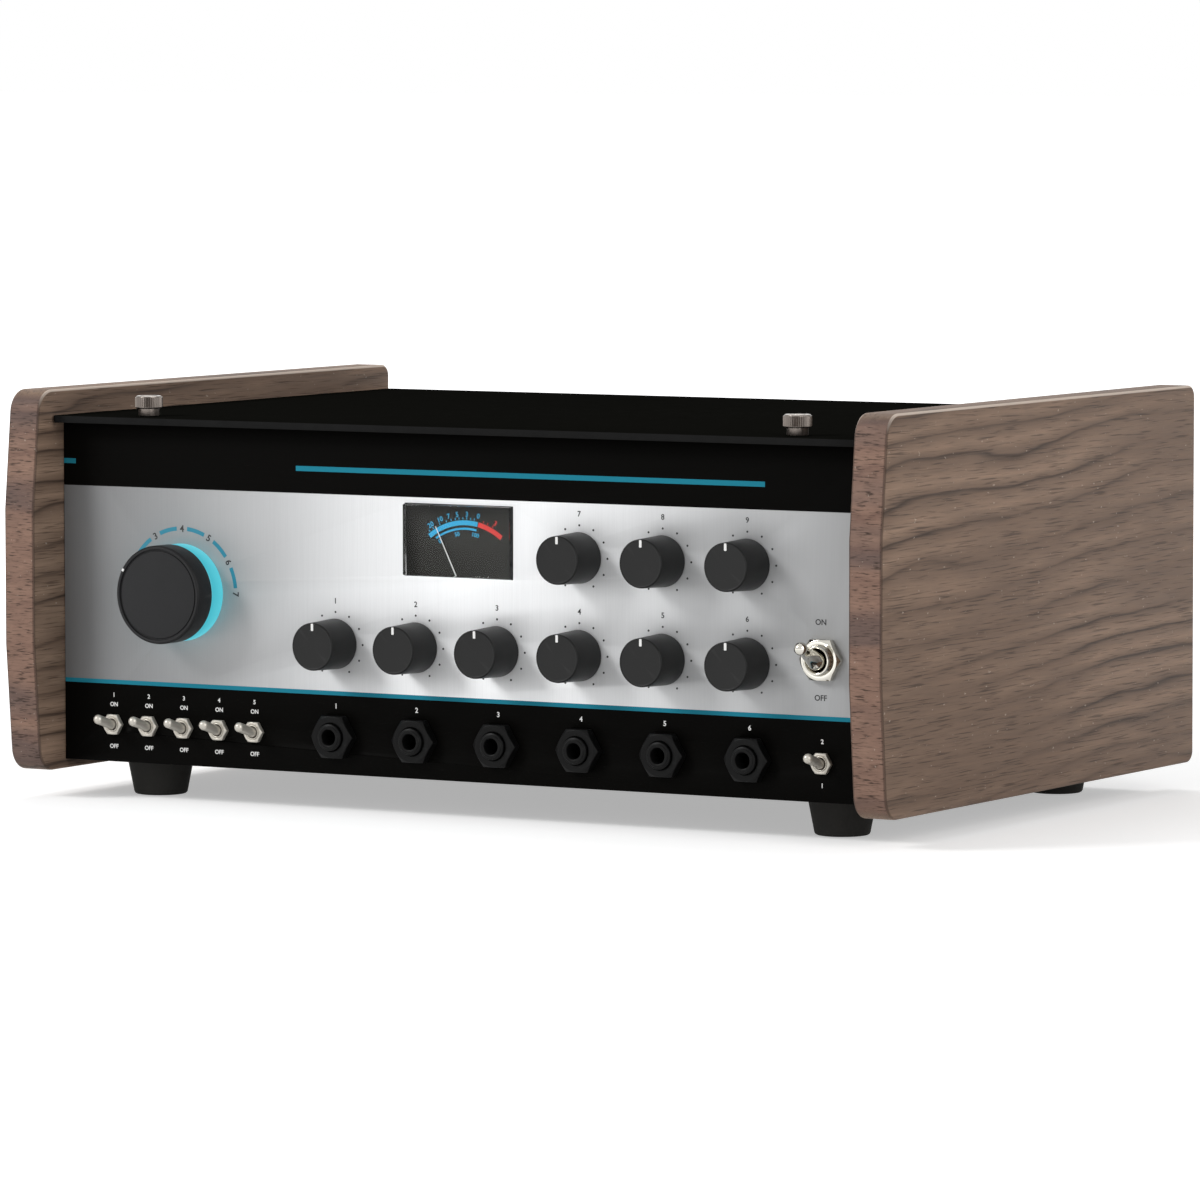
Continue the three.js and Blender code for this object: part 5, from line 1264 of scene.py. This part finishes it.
def buildPrint():
    ink, weight = printing["ink"], printing["weight"]
    knobSpots = [centre("knob_" + name) for name in knobNames]
    grown("scale_dots", [(spot.x, panelY, spot.z) for spot in knobSpots], dotTree(), {
        "Count": printing["dotCount"], "Step": math.radians(printing["dotStep"]),
        "Circle": printing["dotCircle"] * mm, "Radius": printing["dotRadius"] * mm, "Thick": 2 * ink * mm,
        "Material": paint["darkInk"]}, "case")
    dark = [moved(lettering(str(i), printing["figure"], ink, weight), spot.x, spot.z + printing["figureRise"])
            for i, spot in enumerate(knobSpots, 1)]
    dark += [moved(lettering(words, printing["powerTall"], ink, weight), rightX - printing["powerShift"], z)
             for words, z in printing["powerWords"]]
    mode = centre("mode_knob")
    angles = [printing["modeStart"] + printing["modeStep"] * i for i in range(printing["modePlaces"])]
    dark += [turnedUpright(lettering(str(i), printing["modeTall"], ink, weight), printing["modeRadius"], angle,
                           mode.x, mode.z) for i, angle in enumerate(angles, 1)]
    piece("print_dark", moved(together(*dark), 0, panelY, 0, forward), "darkInk")
    gap, wide = printing["modeGap"], printing["modeArc"]
    arcs = [arcBand(printing["modeRadius"] + wide / 2, wide, start + gap, end - gap, 0, ink, mode.x, mode.z, 12)
            for start, end in zip(angles, angles[1:])]
    piece("print_teal", moved(together(*arcs), 0, panelY, 0, forward), "tealInk")
    white = [moved(lettering(str(i), printing["jackTall"], ink, weight), centre(f"jack_{i}").x,
                   rowZ + printing["jackRise"]) for i in range(1, 7)]
    for i, x in enumerate(toggleXs, 1):
        words = ((str(i), printing["toggleFigure"]), *printing["toggleWords"])
        white += [moved(lettering(word, printing["toggleTall"], ink, weight), x, z) for word, z in words]
    white += [moved(lettering(word, printing["levelTall"], ink, weight), rightX, z)
              for word, z in printing["levelWords"]]
    piece("print_white", moved(together(*white), 0, panelY, 0, forward), "whitePaint")


buildPrint()
print("printing ready")

# Small screws with a crossed slot, repeated at points
screw = dict(radius=1.9, height=1.2, slot=0.45)


def screwTree():
    tree, given, out = nodeTree("screws", [
        ("Radius", "Float", 0.002), ("Height", "Float", 0.001), ("Slot", "Float", 0.0004),
        ("Tilt", "Rotation", None), ("Material", "Material", None)])
    half = maths(tree, "MULTIPLY", given["Height"], 0.5)
    raised = addNode(tree, "ShaderNodeCombineXYZ", {2: half}).outputs[0]
    head = addNode(tree, "GeometryNodeMeshCylinder", {"Vertices": 32, "Radius": given["Radius"],
                                                      "Depth": given["Height"]})
    long = maths(tree, "MULTIPLY", given["Radius"], 1.3)
    cross = addNode(tree, "GeometryNodeMeshBoolean", {"Mesh 1": head.outputs["Mesh"]}, operation="DIFFERENCE")
    for wide, deep in ((long, given["Slot"]), (given["Slot"], long)):
        size = addNode(tree, "ShaderNodeCombineXYZ", {0: wide, 1: deep, 2: given["Height"]}).outputs[0]
        bar = addNode(tree, "GeometryNodeMeshCube", {"Size": size})
        high = addNode(tree, "GeometryNodeTransform", {"Geometry": bar.outputs["Mesh"], "Translation": raised})
        tree.links.new(high.outputs[0], cross.inputs["Mesh 2"])
    seated = addNode(tree, "GeometryNodeTransform", {"Geometry": cross.outputs["Mesh"], "Translation": raised})
    heads = addNode(tree, "GeometryNodeInstanceOnPoints", {
        "Points": given["Geometry"], "Instance": seated.outputs[0], "Rotation": given["Tilt"]})
    index = addNode(tree, "GeometryNodeInputIndex").outputs[0]
    spin = addNode(tree, "ShaderNodeCombineXYZ", {2: maths(tree, "MULTIPLY", index, 2.4)}).outputs[0]
    turn = addNode(tree, "GeometryNodeRotateInstances", {"Instances": heads.outputs[0], "Rotation": spin})
    endTree(tree, turn.outputs[0], given["Material"], out)
    return tree


screws = screwTree()


def screwHeads(name, points, radius=1.0, tilt=0.0):  # heads look up, tilted about X
    grown(name, points, screws, {
        "Radius": screw["radius"] * radius * mm, "Height": screw["height"] * mm, "Slot": screw["slot"] * mm,
        "Tilt": (math.radians(tilt), 0, 0), "Material": paint["steel"]}, "case")


def buildHingeScrews():
    low, high = corners("lid_hinge")
    pitch = (high.x - low.x) / hinge["screws"]
    y, z = low.y + hinge["leaf"] / 2, low.z + hinge["screwRise"]
    screwHeads("hinge_screws", [(low.x + pitch * (k + 0.5), y, z) for k in range(hinge["screws"])], 0.8, -90)


buildHingeScrews()

# Deck: plate, tape bin, guides, capstan bearing and the post of the pinch arm
deck = dict(thick=2, edge=0.2, corner=3, wall=1.5, lip=1.5, binCorner=12, mouth=34, bearing=7, bore=3.35,
            bearingBelow=5, post=3, postTop=9.3, guide=4, flange=1.2, flangeThick=1.2, screwInset=6)
tape = dict(thick=0.2, solid=0.4, wrap=4.5, foldInset=16, foldGap=4, folds=(0.96, 0.1, 0.8, 0.02, 0.9, 0.14, 1))
coverLow, coverHigh = corners("tape_cover")
binLow = Vector((coverLow.x + deck["lip"], coverLow.y + deck["lip"], deckTop))
binHigh = Vector((coverHigh.x - deck["lip"], coverHigh.y - deck["lip"], coverLow.z))
tapeLow, tapeHigh = corners("tape_loop")
tapeY = tapeLow.y + tape["solid"] / 2
guideX = tapeHigh.x - tape["solid"] / 2 - tape["wrap"]
guideY = tapeY + tape["wrap"]
capstanAt, motorAt, armAt, rollerAt = (pivot(name) for name in ("flywheel_spin", "pulley_spin", "arm_swing",
                                                                "roller_spin"))


def bend(x, y, radius, start, end, steps=24):  # a stretch of a circle, degrees from +X
    angles = [math.radians(start + (end - start) * k / steps) for k in range(steps + 1)]
    return [Vector((x + radius * math.cos(angle), y + radius * math.sin(angle))) for angle in angles]


def apart(line):  # a closed line without repeated points
    return [point for i, point in enumerate(line) if (point - line[i - 1]).length > 0.01]


def ribbon(line, thick, low, high):  # a closed ribbon that stands on edge along a line
    line = apart(line)
    rings = [[], [], [], []]
    for i, point in enumerate(line):
        along = (line[(i + 1) % len(line)] - line[i - 1]).normalized() * thick / 2
        for ring, side, level in zip(rings, (1, 1, -1, -1), (low, high, high, low)):
            ring.append((point.x - along.y * side, point.y + along.x * side, level))
    return lofted(rings, closed=True)


def binStrip(near, far):  # one half of the bin's wall, from mouth to mouth
    half, wall, corner = binHigh.x, deck["wall"], deck["binCorner"]
    inward = wall if near > far else -wall
    outer = filleted([(-half, near), (-half, far, corner), (half, far, corner), (half, near)], 12, closed=False)
    inner = filleted([(wall - half, near), (wall - half, far + inward, corner - wall),
                      (half - wall, far + inward, corner - wall), (half - wall, near)], 12, closed=False)
    return slab(apart(outer + inner[::-1]), deckTop, binHigh.z)


def buildDeck():
    low, high = corners("deck_plate")
    under = deckTop - deck["thick"]
    plate = slab(rectangle(low.x, high.x, low.y, high.y, deck["corner"]), under, deckTop,
                 [circle(deck["bore"] + 1.5, capstanAt.x, capstanAt.y, 32)])
    piece("deck_sheet", plate, "zinc", ["deck_plate"], edge=deck["edge"])
    mouth = binLow.y + deck["binCorner"]
    walls = [binStrip(mouth, binLow.y), binStrip(mouth + deck["mouth"], binHigh.y)]
    piece("tape_bin_wall", together(*walls), "zinc", edge=0.3)
    bore, wide = deck["bore"], deck["bearing"]
    start, end = under - deck["bearingBelow"], rollerAt.z - 8
    bearing = turned([(bore, start, 0.3), (wide, start, 0.6), (wide, end, 0.8), (bore, end, 0.3)], 64, 3,
                     closed=True)
    piece("capstan_bearing", moved(bearing, capstanAt.x, capstanAt.y), "brass")
    post, top = deck["post"], deckTop + deck["postTop"]
    pin = turned([(0, under), (post, under), (post, top - 1.6), (post - 0.5, top - 1.5), (post - 0.5, top - 1),
                  (post, top - 0.9), (post, top, 0.4), (0, top)], 48, 3)
    piece("pinch_post", moved(pin, armAt.x, armAt.y), "steel")
    guide, flange, thick = deck["guide"], deck["flange"], deck["flangeThick"]
    for side, x in (("left", -guideX), ("right", guideX)):
        start, end = tapeLow.z - clearance, tapeHigh.z + clearance
        form = turned([(0, under), (guide + flange, under), (guide + flange, start, 0.3), (guide, start, 0.3),
                       (guide, end, 0.3), (guide + flange, end, 0.3), (guide + flange, end + thick, 0.4),
                       (0, end + thick)], 64, 3)
        piece(f"guide_{side}", moved(form, x, guideY), "mirror")
    cover = slab(rectangle(coverLow.x, coverHigh.x, coverLow.y, coverHigh.y, deck["binCorner"] + deck["lip"],
                           16), coverLow.z, coverHigh.z)
    piece("bin_cover", cover, "clearCover", ["tape_cover"], edge=0.6, segments=3)
    inset = deck["screwInset"]
    edges = [(x, y, deckTop) for x in (low.x + inset, high.x - inset)
             for y in (low.y + inset, (low.y + high.y) / 2, high.y - inset)]
    screwHeads("deck_screws", edges)
    screwHeads("guide_screws", [(x, guideY, tapeHigh.z + clearance + thick) for x in (-guideX, guideX)], 0.8)


def tapeLine():
    wrap, count = tape["wrap"], len(tape["folds"])
    foldX = binHigh.x - tape["foldInset"]
    turn = foldX / (count + 1)
    mouthLow = binLow.y + deck["binCorner"]
    mouthY = mouthLow + deck["mouth"] / 2
    outX = guideX + wrap
    clear = deck["wall"] + tape["foldGap"] + turn
    start, bent, end = Vector((outX, mouthLow)), Vector((outX, mouthY)), Vector((foldX, mouthY))
    sweep = [start.lerp(bent, k / 16).lerp(bent.lerp(end, k / 16), k / 16) for k in range(17)]
    line = bend(guideX, guideY, wrap, -90, 0) + sweep + bend(foldX, mouthY + turn, turn, -90, -180)
    for i, share in enumerate(tape["folds"]):
        y = binLow.y + clear + (binHigh.y - binLow.y - 2 * clear) * share
        line += bend(foldX - 2 * turn * (i + 1), y, turn, 0, -180 if i % 2 else 180, 32)
    line += bend(-foldX, mouthY + turn, turn, 0, -90)
    line += [Vector((-point.x, point.y)) for point in reversed(sweep)]
    return line + bend(-guideX, guideY, wrap, 180, 270)


def buildTape():
    piece("tape_ribbon", ribbon(tapeLine(), tape["thick"], tapeLow.z, tapeHigh.z), "tapeBrown",
          ["tape_loop"])


buildDeck()
buildTape()
print("deck and tape ready")

# Heads on their block
head = dict(nose=9, face=1.9, faceTall=3.7, proud=0.02, slit=0.07, slitTall=3.2, foot=1.4, footOut=2.4,
            footBack=4.6, footFront=2.6, edge=0.3, barInset=3.2, barPlaces=(-68, 34))
headNames = ("erase_head", "record_head", "play_head_1", "play_head_2", "play_head_3")


def buildHeads():
    low, high = corners("head_block")
    bar = slab(rectangle(low.x, high.x, low.y, high.y, 1, 3), low.z, high.z)
    piece("head_bar", bar, "aluminium", ["head_block"], edge=0.5)
    inset, y = head["barInset"], (low.y + high.y) / 2 + 3
    screwHeads("head_bar_screws", [(x, y, high.z) for x in (low.x + inset, *head["barPlaces"], high.x - inset)])
    middle = (tapeLow.z + tapeHigh.z) / 2
    places = []
    for node in headNames:
        start, end = corners(node)
        x, nose = (start.x + end.x) / 2, head["nose"]
        lean = math.degrees(math.asin((end.x - start.x) / 2 / nose))
        outline = bend(x, start.y + nose, nose, -90 - lean, -90 + lean, 32)
        outline += [Vector((end.x, end.y)), Vector((start.x, end.y))]
        piece(f"{node}_shell", slab(outline, start.z, end.z), "mirror", [node],
              edge=head["edge"], segments=3)
        lean = math.degrees(math.asin(head["face"] / nose))
        inlay = bend(x, start.y + nose, nose + head["proud"], -90 - lean, -90 + lean, 10)
        inlay += [Vector((x + head["face"], start.y + 1)), Vector((x - head["face"], start.y + 1))]
        piece(f"{node}_core", slab(inlay, middle - head["faceTall"], middle + head["faceTall"]), "dialGrey")
        slit = block(x - head["slit"], x + head["slit"], start.y - 2 * head["proud"], start.y + 1,
                     middle - head["slitTall"], middle + head["slitTall"])
        piece(f"{node}_slit", slit, "brass")
        sole = slab(rectangle(start.x - head["footOut"], end.x + head["footOut"], start.y + head["footFront"],
                              end.y + head["footBack"], 1.2, 3), start.z - 0.02, start.z + head["foot"])
        piece(f"{node}_foot", sole, "zinc", edge=0.2)
        places += [(x + s * 5.6, end.y + head["footBack"] - 2.3, start.z + head["foot"]) for s in (-1, 1)]
    screwHeads("head_screws", places, 0.85)


# Capstan, flywheel, motor, belt and pinch roller
drive = dict(rim=7, thick=8, web=3, hub=9, hubRise=3, shaft=3, motorPost=2.5, motorReach=22, posts=3,
             postLong=22, flangeThick=2, can=21, canEdge=2.5, shaftBore=1.95, shaftDeep=9.3, pulley=8, lip=1.2,
             spindle=1.6, beltThick=0.9, beltGap=0.3, armThick=2, armHub=6, armHubTall=5, armBoss=4,
             rollerCore=4.4, rollerBore=2.4, pin=2.0, tab=3.2, tabReach=6, tabLong=5)


def buildDrive():
    low, high = corners("capstan_flywheel")
    radius, rim, hub, shaft = (high.x - low.x) / 2, drive["rim"], drive["hub"], drive["shaft"]
    top, sink = low.z + drive["thick"], (drive["thick"] - drive["web"]) / 2
    crown = top + drive["hubRise"]
    inner = radius - rim
    wheel = turned([(0, low.z), (hub, low.z, 0.4), (hub, low.z + sink, 0.8), (inner, low.z + sink, 0.8),
                    (inner, low.z, 0.4), (radius, low.z, 0.5), (radius, top, 0.5), (inner, top, 0.4),
                    (inner, top - sink, 0.8), (hub, top - sink, 0.8), (hub, crown, 0.6), (0, crown)], 128, 3)
    piece("flywheel_disc", moved(wheel, capstanAt.x, capstanAt.y), "brass",
          ["capstan_flywheel"], "flywheel")
    rod = turned([(0, crown - 1), (shaft, crown - 1), (shaft, high.z, 0.6), (0, high.z)], 64, 3)
    piece("capstan_shaft", moved(rod, capstanAt.x, capstanAt.y), "mirror", body="flywheel")
    low, high = corners("drive_motor")
    motorTop = high.z - drive["postLong"]
    flange = drive["motorReach"] + drive["motorPost"]
    bore, sunk, seat = drive["shaftBore"], motorTop - drive["shaftDeep"], motorTop - drive["flangeThick"]
    can, groove = drive["can"], drive["can"] - 0.3
    shell = turned([(0, low.z), (can, low.z, drive["canEdge"]), (can, low.z + 5), (groove, low.z + 5.2),
                    (groove, low.z + 5.8), (can, low.z + 6), (can, seat), (flange, seat, 0.3),
                    (flange, motorTop, 0.4), (6, motorTop), (6, motorTop + 1.5, 0.3), (bore, motorTop + 1.5),
                    (bore, sunk), (0, sunk)], 96, 3)
    piece("motor_can", moved(shell, motorAt.x, motorAt.y), "zinc", ["drive_motor"])
    spots = circle(drive["motorReach"], motorAt.x, motorAt.y, drive["posts"])
    posts = [moved(turned([(0, motorTop - 1), (drive["motorPost"], motorTop - 1), (drive["motorPost"], high.z),
                           (0, high.z)], 32, 2), spot.x, spot.y) for spot in spots]
    piece("motor_posts", together(*posts), "steel")
    screwHeads("motor_screws", [(spot.x, spot.y, deckTop) for spot in spots])
    tabs = [block(x - drive["tab"] / 2, x + drive["tab"] / 2, motorAt.y - 0.3, motorAt.y + 0.3,
                  low.z - drive["tabLong"], low.z + 1)
            for x in (motorAt.x - drive["tabReach"], motorAt.x + drive["tabReach"])]
    piece("motor_tabs", together(*tabs), "brass", edge=0.1)
    low, high = corners("motor_pulley")
    drum, lip = drive["pulley"], drive["pulley"] + drive["lip"]
    beltLow, beltHigh = corners("drive_belt")
    bottom = 2 * pivot("pulley_spin").z - high.z - 0.6
    form = turned([(0, low.z), (drive["spindle"], low.z), (drive["spindle"], bottom), (lip, bottom, 0.3),
                   (lip, beltLow.z - 0.5, 0.2), (drum, beltLow.z - 0.3, 0.2), (drum, beltHigh.z + 0.3, 0.2),
                   (lip, beltHigh.z + 0.5, 0.2), (lip, high.z, 0.4), (0, high.z)], 72, 3)
    piece("pulley_drum", moved(form, motorAt.x, motorAt.y), "brass",
          ["motor_pulley"], "pulley")
    big, little = (size + drive["beltGap"] + drive["beltThick"] / 2 for size in (radius, drum))
    lean = math.degrees(math.acos((big - little) / (capstanAt.x - motorAt.x)))
    line = bend(capstanAt.x, capstanAt.y, big, lean - 180, 180 - lean, 96)
    line += bend(motorAt.x, motorAt.y, little, 180 - lean, 180 + lean, 32)
    piece("belt_loop", ribbon(line, drive["beltThick"], beltLow.z, beltHigh.z), "beltBlack",
          ["drive_belt"])


def buildPinch():
    low, high = corners("pinch_arm")
    boss, hub = drive["armBoss"], drive["armHub"]
    bore = deck["post"] + 0.35
    outline = filleted([(rollerAt.x - boss, armAt.y - boss, boss), (armAt.x + hub, armAt.y - boss, boss),
                        (armAt.x + hub, rollerAt.y + boss, hub),
                        (rollerAt.x - boss, rollerAt.y + boss, boss)], 12)
    plate = slab(outline, low.z, low.z + drive["armThick"], [circle(bore, armAt.x, armAt.y)])
    piece("pinch_arm_plate", plate, "zinc", ["pinch_arm"], "arm", edge=0.25)
    sleeve = turned([(bore, low.z), (hub, low.z, 0.3), (hub, low.z + drive["armHubTall"], 0.5),
                     (bore, low.z + drive["armHubTall"], 0.2)], 64, 3, closed=True)
    piece("pinch_arm_hub", moved(sleeve, armAt.x, armAt.y), "steel", body="arm")
    base = corners("pinch_roller")[0].z - clearance
    pin = turned([(0, low.z), (boss, low.z, 0.3), (boss, base, 0.3), (drive["pin"], base),
                  (drive["pin"], high.z, 0.5), (0, high.z)], 48, 3)
    piece("pinch_roller_pin", moved(pin, rollerAt.x, rollerAt.y), "steel", body="arm")
    low, high = corners("pinch_roller")
    radius, core, hole = (high.x - low.x) / 2, drive["rollerCore"], drive["rollerBore"]
    tyre = turned([(core, low.z + 0.3), (radius, low.z, 0.8), (radius, high.z, 0.8), (core, high.z - 0.3)],
                  96, 4, closed=True)
    piece("pinch_roller_tyre", moved(tyre, rollerAt.x, rollerAt.y), "beltBlack",
          ["pinch_roller"], "roller")
    bush = turned([(hole, low.z), (core, low.z, 0.3), (core, high.z, 0.3), (hole, high.z)], 48, 3, closed=True)
    piece("pinch_roller_bush", moved(bush, rollerAt.x, rollerAt.y), "brass", body="roller")


buildHeads()
buildDrive()
buildPinch()
print("heads and drive ready")

# Control board with nine potentiometers
pot = dict(wide=16, tall=17, corner=2, bush=4.4, nose=3.2, bore=3.35, boreDeep=8, nut=11, nutThick=1.6, margin=4,
           pinPitch=5)


def buildControlBoard():
    low, high = corners("control_board")
    spots = [centre("knob_" + name) for name in knobNames]
    margin = pot["margin"]
    middle = spots[0].z + pot["tall"] / 2 + margin
    step = spots[6].x - pot["wide"] / 2 - margin
    outline = filleted([(low.x, low.z, 1.5), (high.x, low.z, 1.5), (high.x, high.z, 1.5), (step, high.z, 1.5),
                        (step, middle, 1.5), (low.x, middle, 1.5)], 3)
    board = slab(outline, 0, sheet["thick"])
    piece("control_board_sheet", moved(board, 0, high.y, 0, forward), "boardGreen",
          ["control_board"], edge=sheet["edge"])
    thick = panelHigh.y - panelLow.y
    deep = high.y - sheet["thick"] - panelLow.y
    bodies, bushes, nuts, pins = [], [], [], []
    for spot in spots:
        shape = rectangle(-pot["wide"] / 2, pot["wide"] / 2, -pot["tall"] / 2, pot["tall"] / 2, pot["corner"])
        bodies.append(moved(slab(shape, -deep, -thick - 0.02, [circle(pot["bore"] + 0.1)]), spot.x, spot.z))
        bushes.append(moved(bushing(pot, pot["nose"], -thick, 0.3), spot.x, spot.z))
        nut = hexagonNut(pot["nut"], pot["nutThick"], pot["bush"] + 0.05, perSide=4)
        nuts.append(moved(nut, spot.x, spot.z))
        pins += [moved(block(-0.4, 0.4, -2, 2, -deep + 1, -deep + 1.4), spot.x + k * pot["pinPitch"],
                       spot.z - pot["tall"] / 2 - 1.5) for k in (-1, 0, 1)]
    for name, forms, finish, edge in (("pot_bodies", bodies, "zinc", 0.3), ("pot_bushes", bushes, "nickel", 0),
                                        ("pot_nuts", nuts, "nickel", 0.1), ("pot_pins", pins, "brass", 0.08)):
        piece(name, onPanel(together(*forms), 0, 0), finish, edge=edge)


# Main board: capacitors, heat sink, standoffs and the mains inlet
main = dict(standoff=7, deep=135.5, corner=2, leg=3, legInset=6, can=9, canTall=30, canPitch=24, cans=4,
            canInset=24, canBehind=60, sinkInset=62, sinkWide=60, sinkDeep=14, sinkTall=32, spine=3.2, fins=7,
            finShare=0.5, sinkBehind=30)
inlet = dict(inset=32, rise=25.05, wide=28, tall=21, deep=22, flangeWide=40, flangeTall=25, flangeThick=2,
             mouthWide=24, mouthTall=16.4, mouthDeep=16, prong=(2, 4, 12), prongPitch=7, prongDrop=3,
             screw=16.6)


def buildMainBoard():
    low, high = corners("main_board")
    floor, left, right, front = low.z, low.x, high.x, low.y
    boardLow = floor + main["standoff"]
    boardTop = boardLow + sheet["thick"]
    back = front + main["deep"]
    board = slab(rectangle(left, right, front, back, main["corner"]), boardLow, boardTop)
    piece("main_board_sheet", board, "boardGreen", ["main_board"],
          edge=sheet["edge"])
    inset = main["legInset"]
    places = [(x, y) for x in (left + inset, right - inset) for y in (front + inset, back - inset)]
    legs = [moved(slab(circle(main["leg"], sides=6), floor, boardLow), x, y) for x, y in places]
    piece("board_standoffs", together(*legs), "brass", edge=0.15)
    screwHeads("board_screws", [(x, y, boardTop) for x, y in places])
    radius, top = main["can"], boardTop + main["canTall"]
    sleeve = [(0, boardTop - 0.1), (radius, boardTop - 0.1, 0.8), (radius, boardTop + 3, 0.5),
              (radius - 0.6, boardTop + 3.8, 0.5), (radius, boardTop + 4.6, 0.5), (radius, top, 1),
              (radius - 1.4, top), (radius - 1.4, top - 0.3), (0, top - 0.3)]
    disc = [(0, top - 0.35), (radius - 1.4, top - 0.35), (radius - 1.6, top - 0.1, 0.2), (0, top - 0.1)]
    spots = [(left + main["canInset"] + main["canPitch"] * k, front + main["canBehind"])
             for k in range(main["cans"])]
    sleeves = [moved(turned(sleeve, 64, 3), x, y) for x, y in spots]
    tops = [moved(turned(disc, 48, 2), x, y) for x, y in spots]
    piece("capacitor_sleeves", together(*sleeves), "canSleeve")
    piece("capacitor_tops", together(*tops), "aluminium")
    start = right - main["sinkInset"] - main["sinkWide"] / 2
    end, near = start + main["sinkWide"], front + main["sinkBehind"]
    pitch = main["sinkWide"] / (main["fins"] - 1 + main["finShare"])
    wide, rise = pitch * main["finShare"], boardTop + main["sinkTall"]
    fins = [block(start, end, near, near + main["spine"], boardLow, rise)]
    fins += [block(start + pitch * k, start + pitch * k + wide, near + main["spine"] - 0.1,
                   near + main["sinkDeep"], boardLow, rise) for k in range(main["fins"])]
    piece("heat_sink", together(*fins), "aluminium", edge=0.3)
    chips = [block(start + 10 + 16 * k, start + 20 + 16 * k, near - 4.5, near, boardTop + 5, boardTop + 15)
             for k in range(3)]
    chips += [block(left + 20 + 22 * k, left + 40 + 22 * k, front + 20, front + 27, boardTop + 0.4, boardTop + 4)
              for k in range(4)]
    piece("board_chips", together(*chips), "socketBlack", edge=0.2)
    buildInlet(right - inlet["inset"], floor + inlet["rise"], high.y - inlet["flangeThick"], boardLow, back)


def buildInlet(x, z, rear, boardLow, back):
    mouthWide, mouthTall = inlet["mouthWide"] / 2, inlet["mouthTall"] / 2
    wide, tall = inlet["wide"] / 2, inlet["tall"] / 2
    mouth = rectangle(-mouthWide, mouthWide, -mouthTall, mouthTall, 1.5, 3)
    floor = rear + inlet["flangeThick"] - inlet["mouthDeep"]
    flange = slab(rectangle(-inlet["flangeWide"] / 2, inlet["flangeWide"] / 2, -inlet["flangeTall"] / 2,
                            inlet["flangeTall"] / 2, 3), 0, inlet["flangeThick"], [mouth])
    sides = slab(rectangle(-wide, wide, -tall, tall, 1), floor - rear, 0.05, [mouth])
    bottom = slab(rectangle(-wide, wide, -tall, tall, 1), -inlet["deep"], floor - rear)
    piece("inlet_flange", moved(flange, x, rear, z, backward), "socketBlack", edge=0.4)
    piece("inlet_body", moved(together(sides, bottom), x, rear, z, backward), "socketBlack",
          edge=0.2)
    pillar = block(x - wide, x + wide, rear - inlet["deep"], back, boardLow, z - tall)
    piece("inlet_foot", pillar, "socketBlack", edge=0.3)
    thick, high, long = inlet["prong"]
    pitch, level = inlet["prongPitch"], z - inlet["prongDrop"]
    prongs = [block(middle - thick / 2, middle + thick / 2, floor - 0.1, floor + long, level - high / 2,
                    level + high / 2) for middle in (x - pitch, x, x + pitch)]
    piece("inlet_prongs", together(*prongs), "brass", edge=0.4)
    screwHeads("inlet_screws", [(x + s * inlet["screw"], rear + inlet["flangeThick"], z) for s in (-1, 1)],
               0.9, -90)


# Ring-core transformer: wound core, clamping cap and bolt
core = dict(hole=12, round=9, cap=25, capThick=3, bolt=2.5, boltRise=3, turns=140, ridge=0.35)


def buildTransformer():
    low, high = corners("transformer")
    spot = (low + high) / 2
    radius = (high.x - low.x) / 2
    top = high.z - core["capThick"] - core["boltRise"]
    rings = []
    for k in range(2 * core["turns"]):
        inset = core["ridge"] * (k % 2)
        section = rectangle(core["hole"] + inset, radius - inset, low.z + inset, top - inset, core["round"], 6)
        angle = math.pi * k / core["turns"]
        rings.append([(spot.x + r * math.cos(angle), spot.y + r * math.sin(angle), z) for r, z in section])
    piece("transformer_winding", lofted(rings, closed=True), "windingTape",
          ["transformer"], sharp=80)
    cap, rise = core["cap"], top + core["capThick"]
    plate = turned([(0, top - 0.3), (cap, top - 0.3, 0.4), (cap, rise - 0.6, 0.6), (cap - 4, rise, 1),
                    (0, rise)], 96, 3)
    piece("transformer_cap", moved(plate, spot.x, spot.y), "zinc")
    bolt = turned([(0, rise - 0.1), (core["bolt"], rise - 0.1), (core["bolt"], high.z, 0.4), (0, high.z)], 32, 2)
    nut = moved(hexagonNut(8, 2, core["bolt"] - 0.1), 0, 0, rise)
    piece("transformer_bolt", moved(together(bolt, nut), spot.x, spot.y), "steel")


buildControlBoard()
buildMainBoard()
buildTransformer()
print("boards and transformer ready")
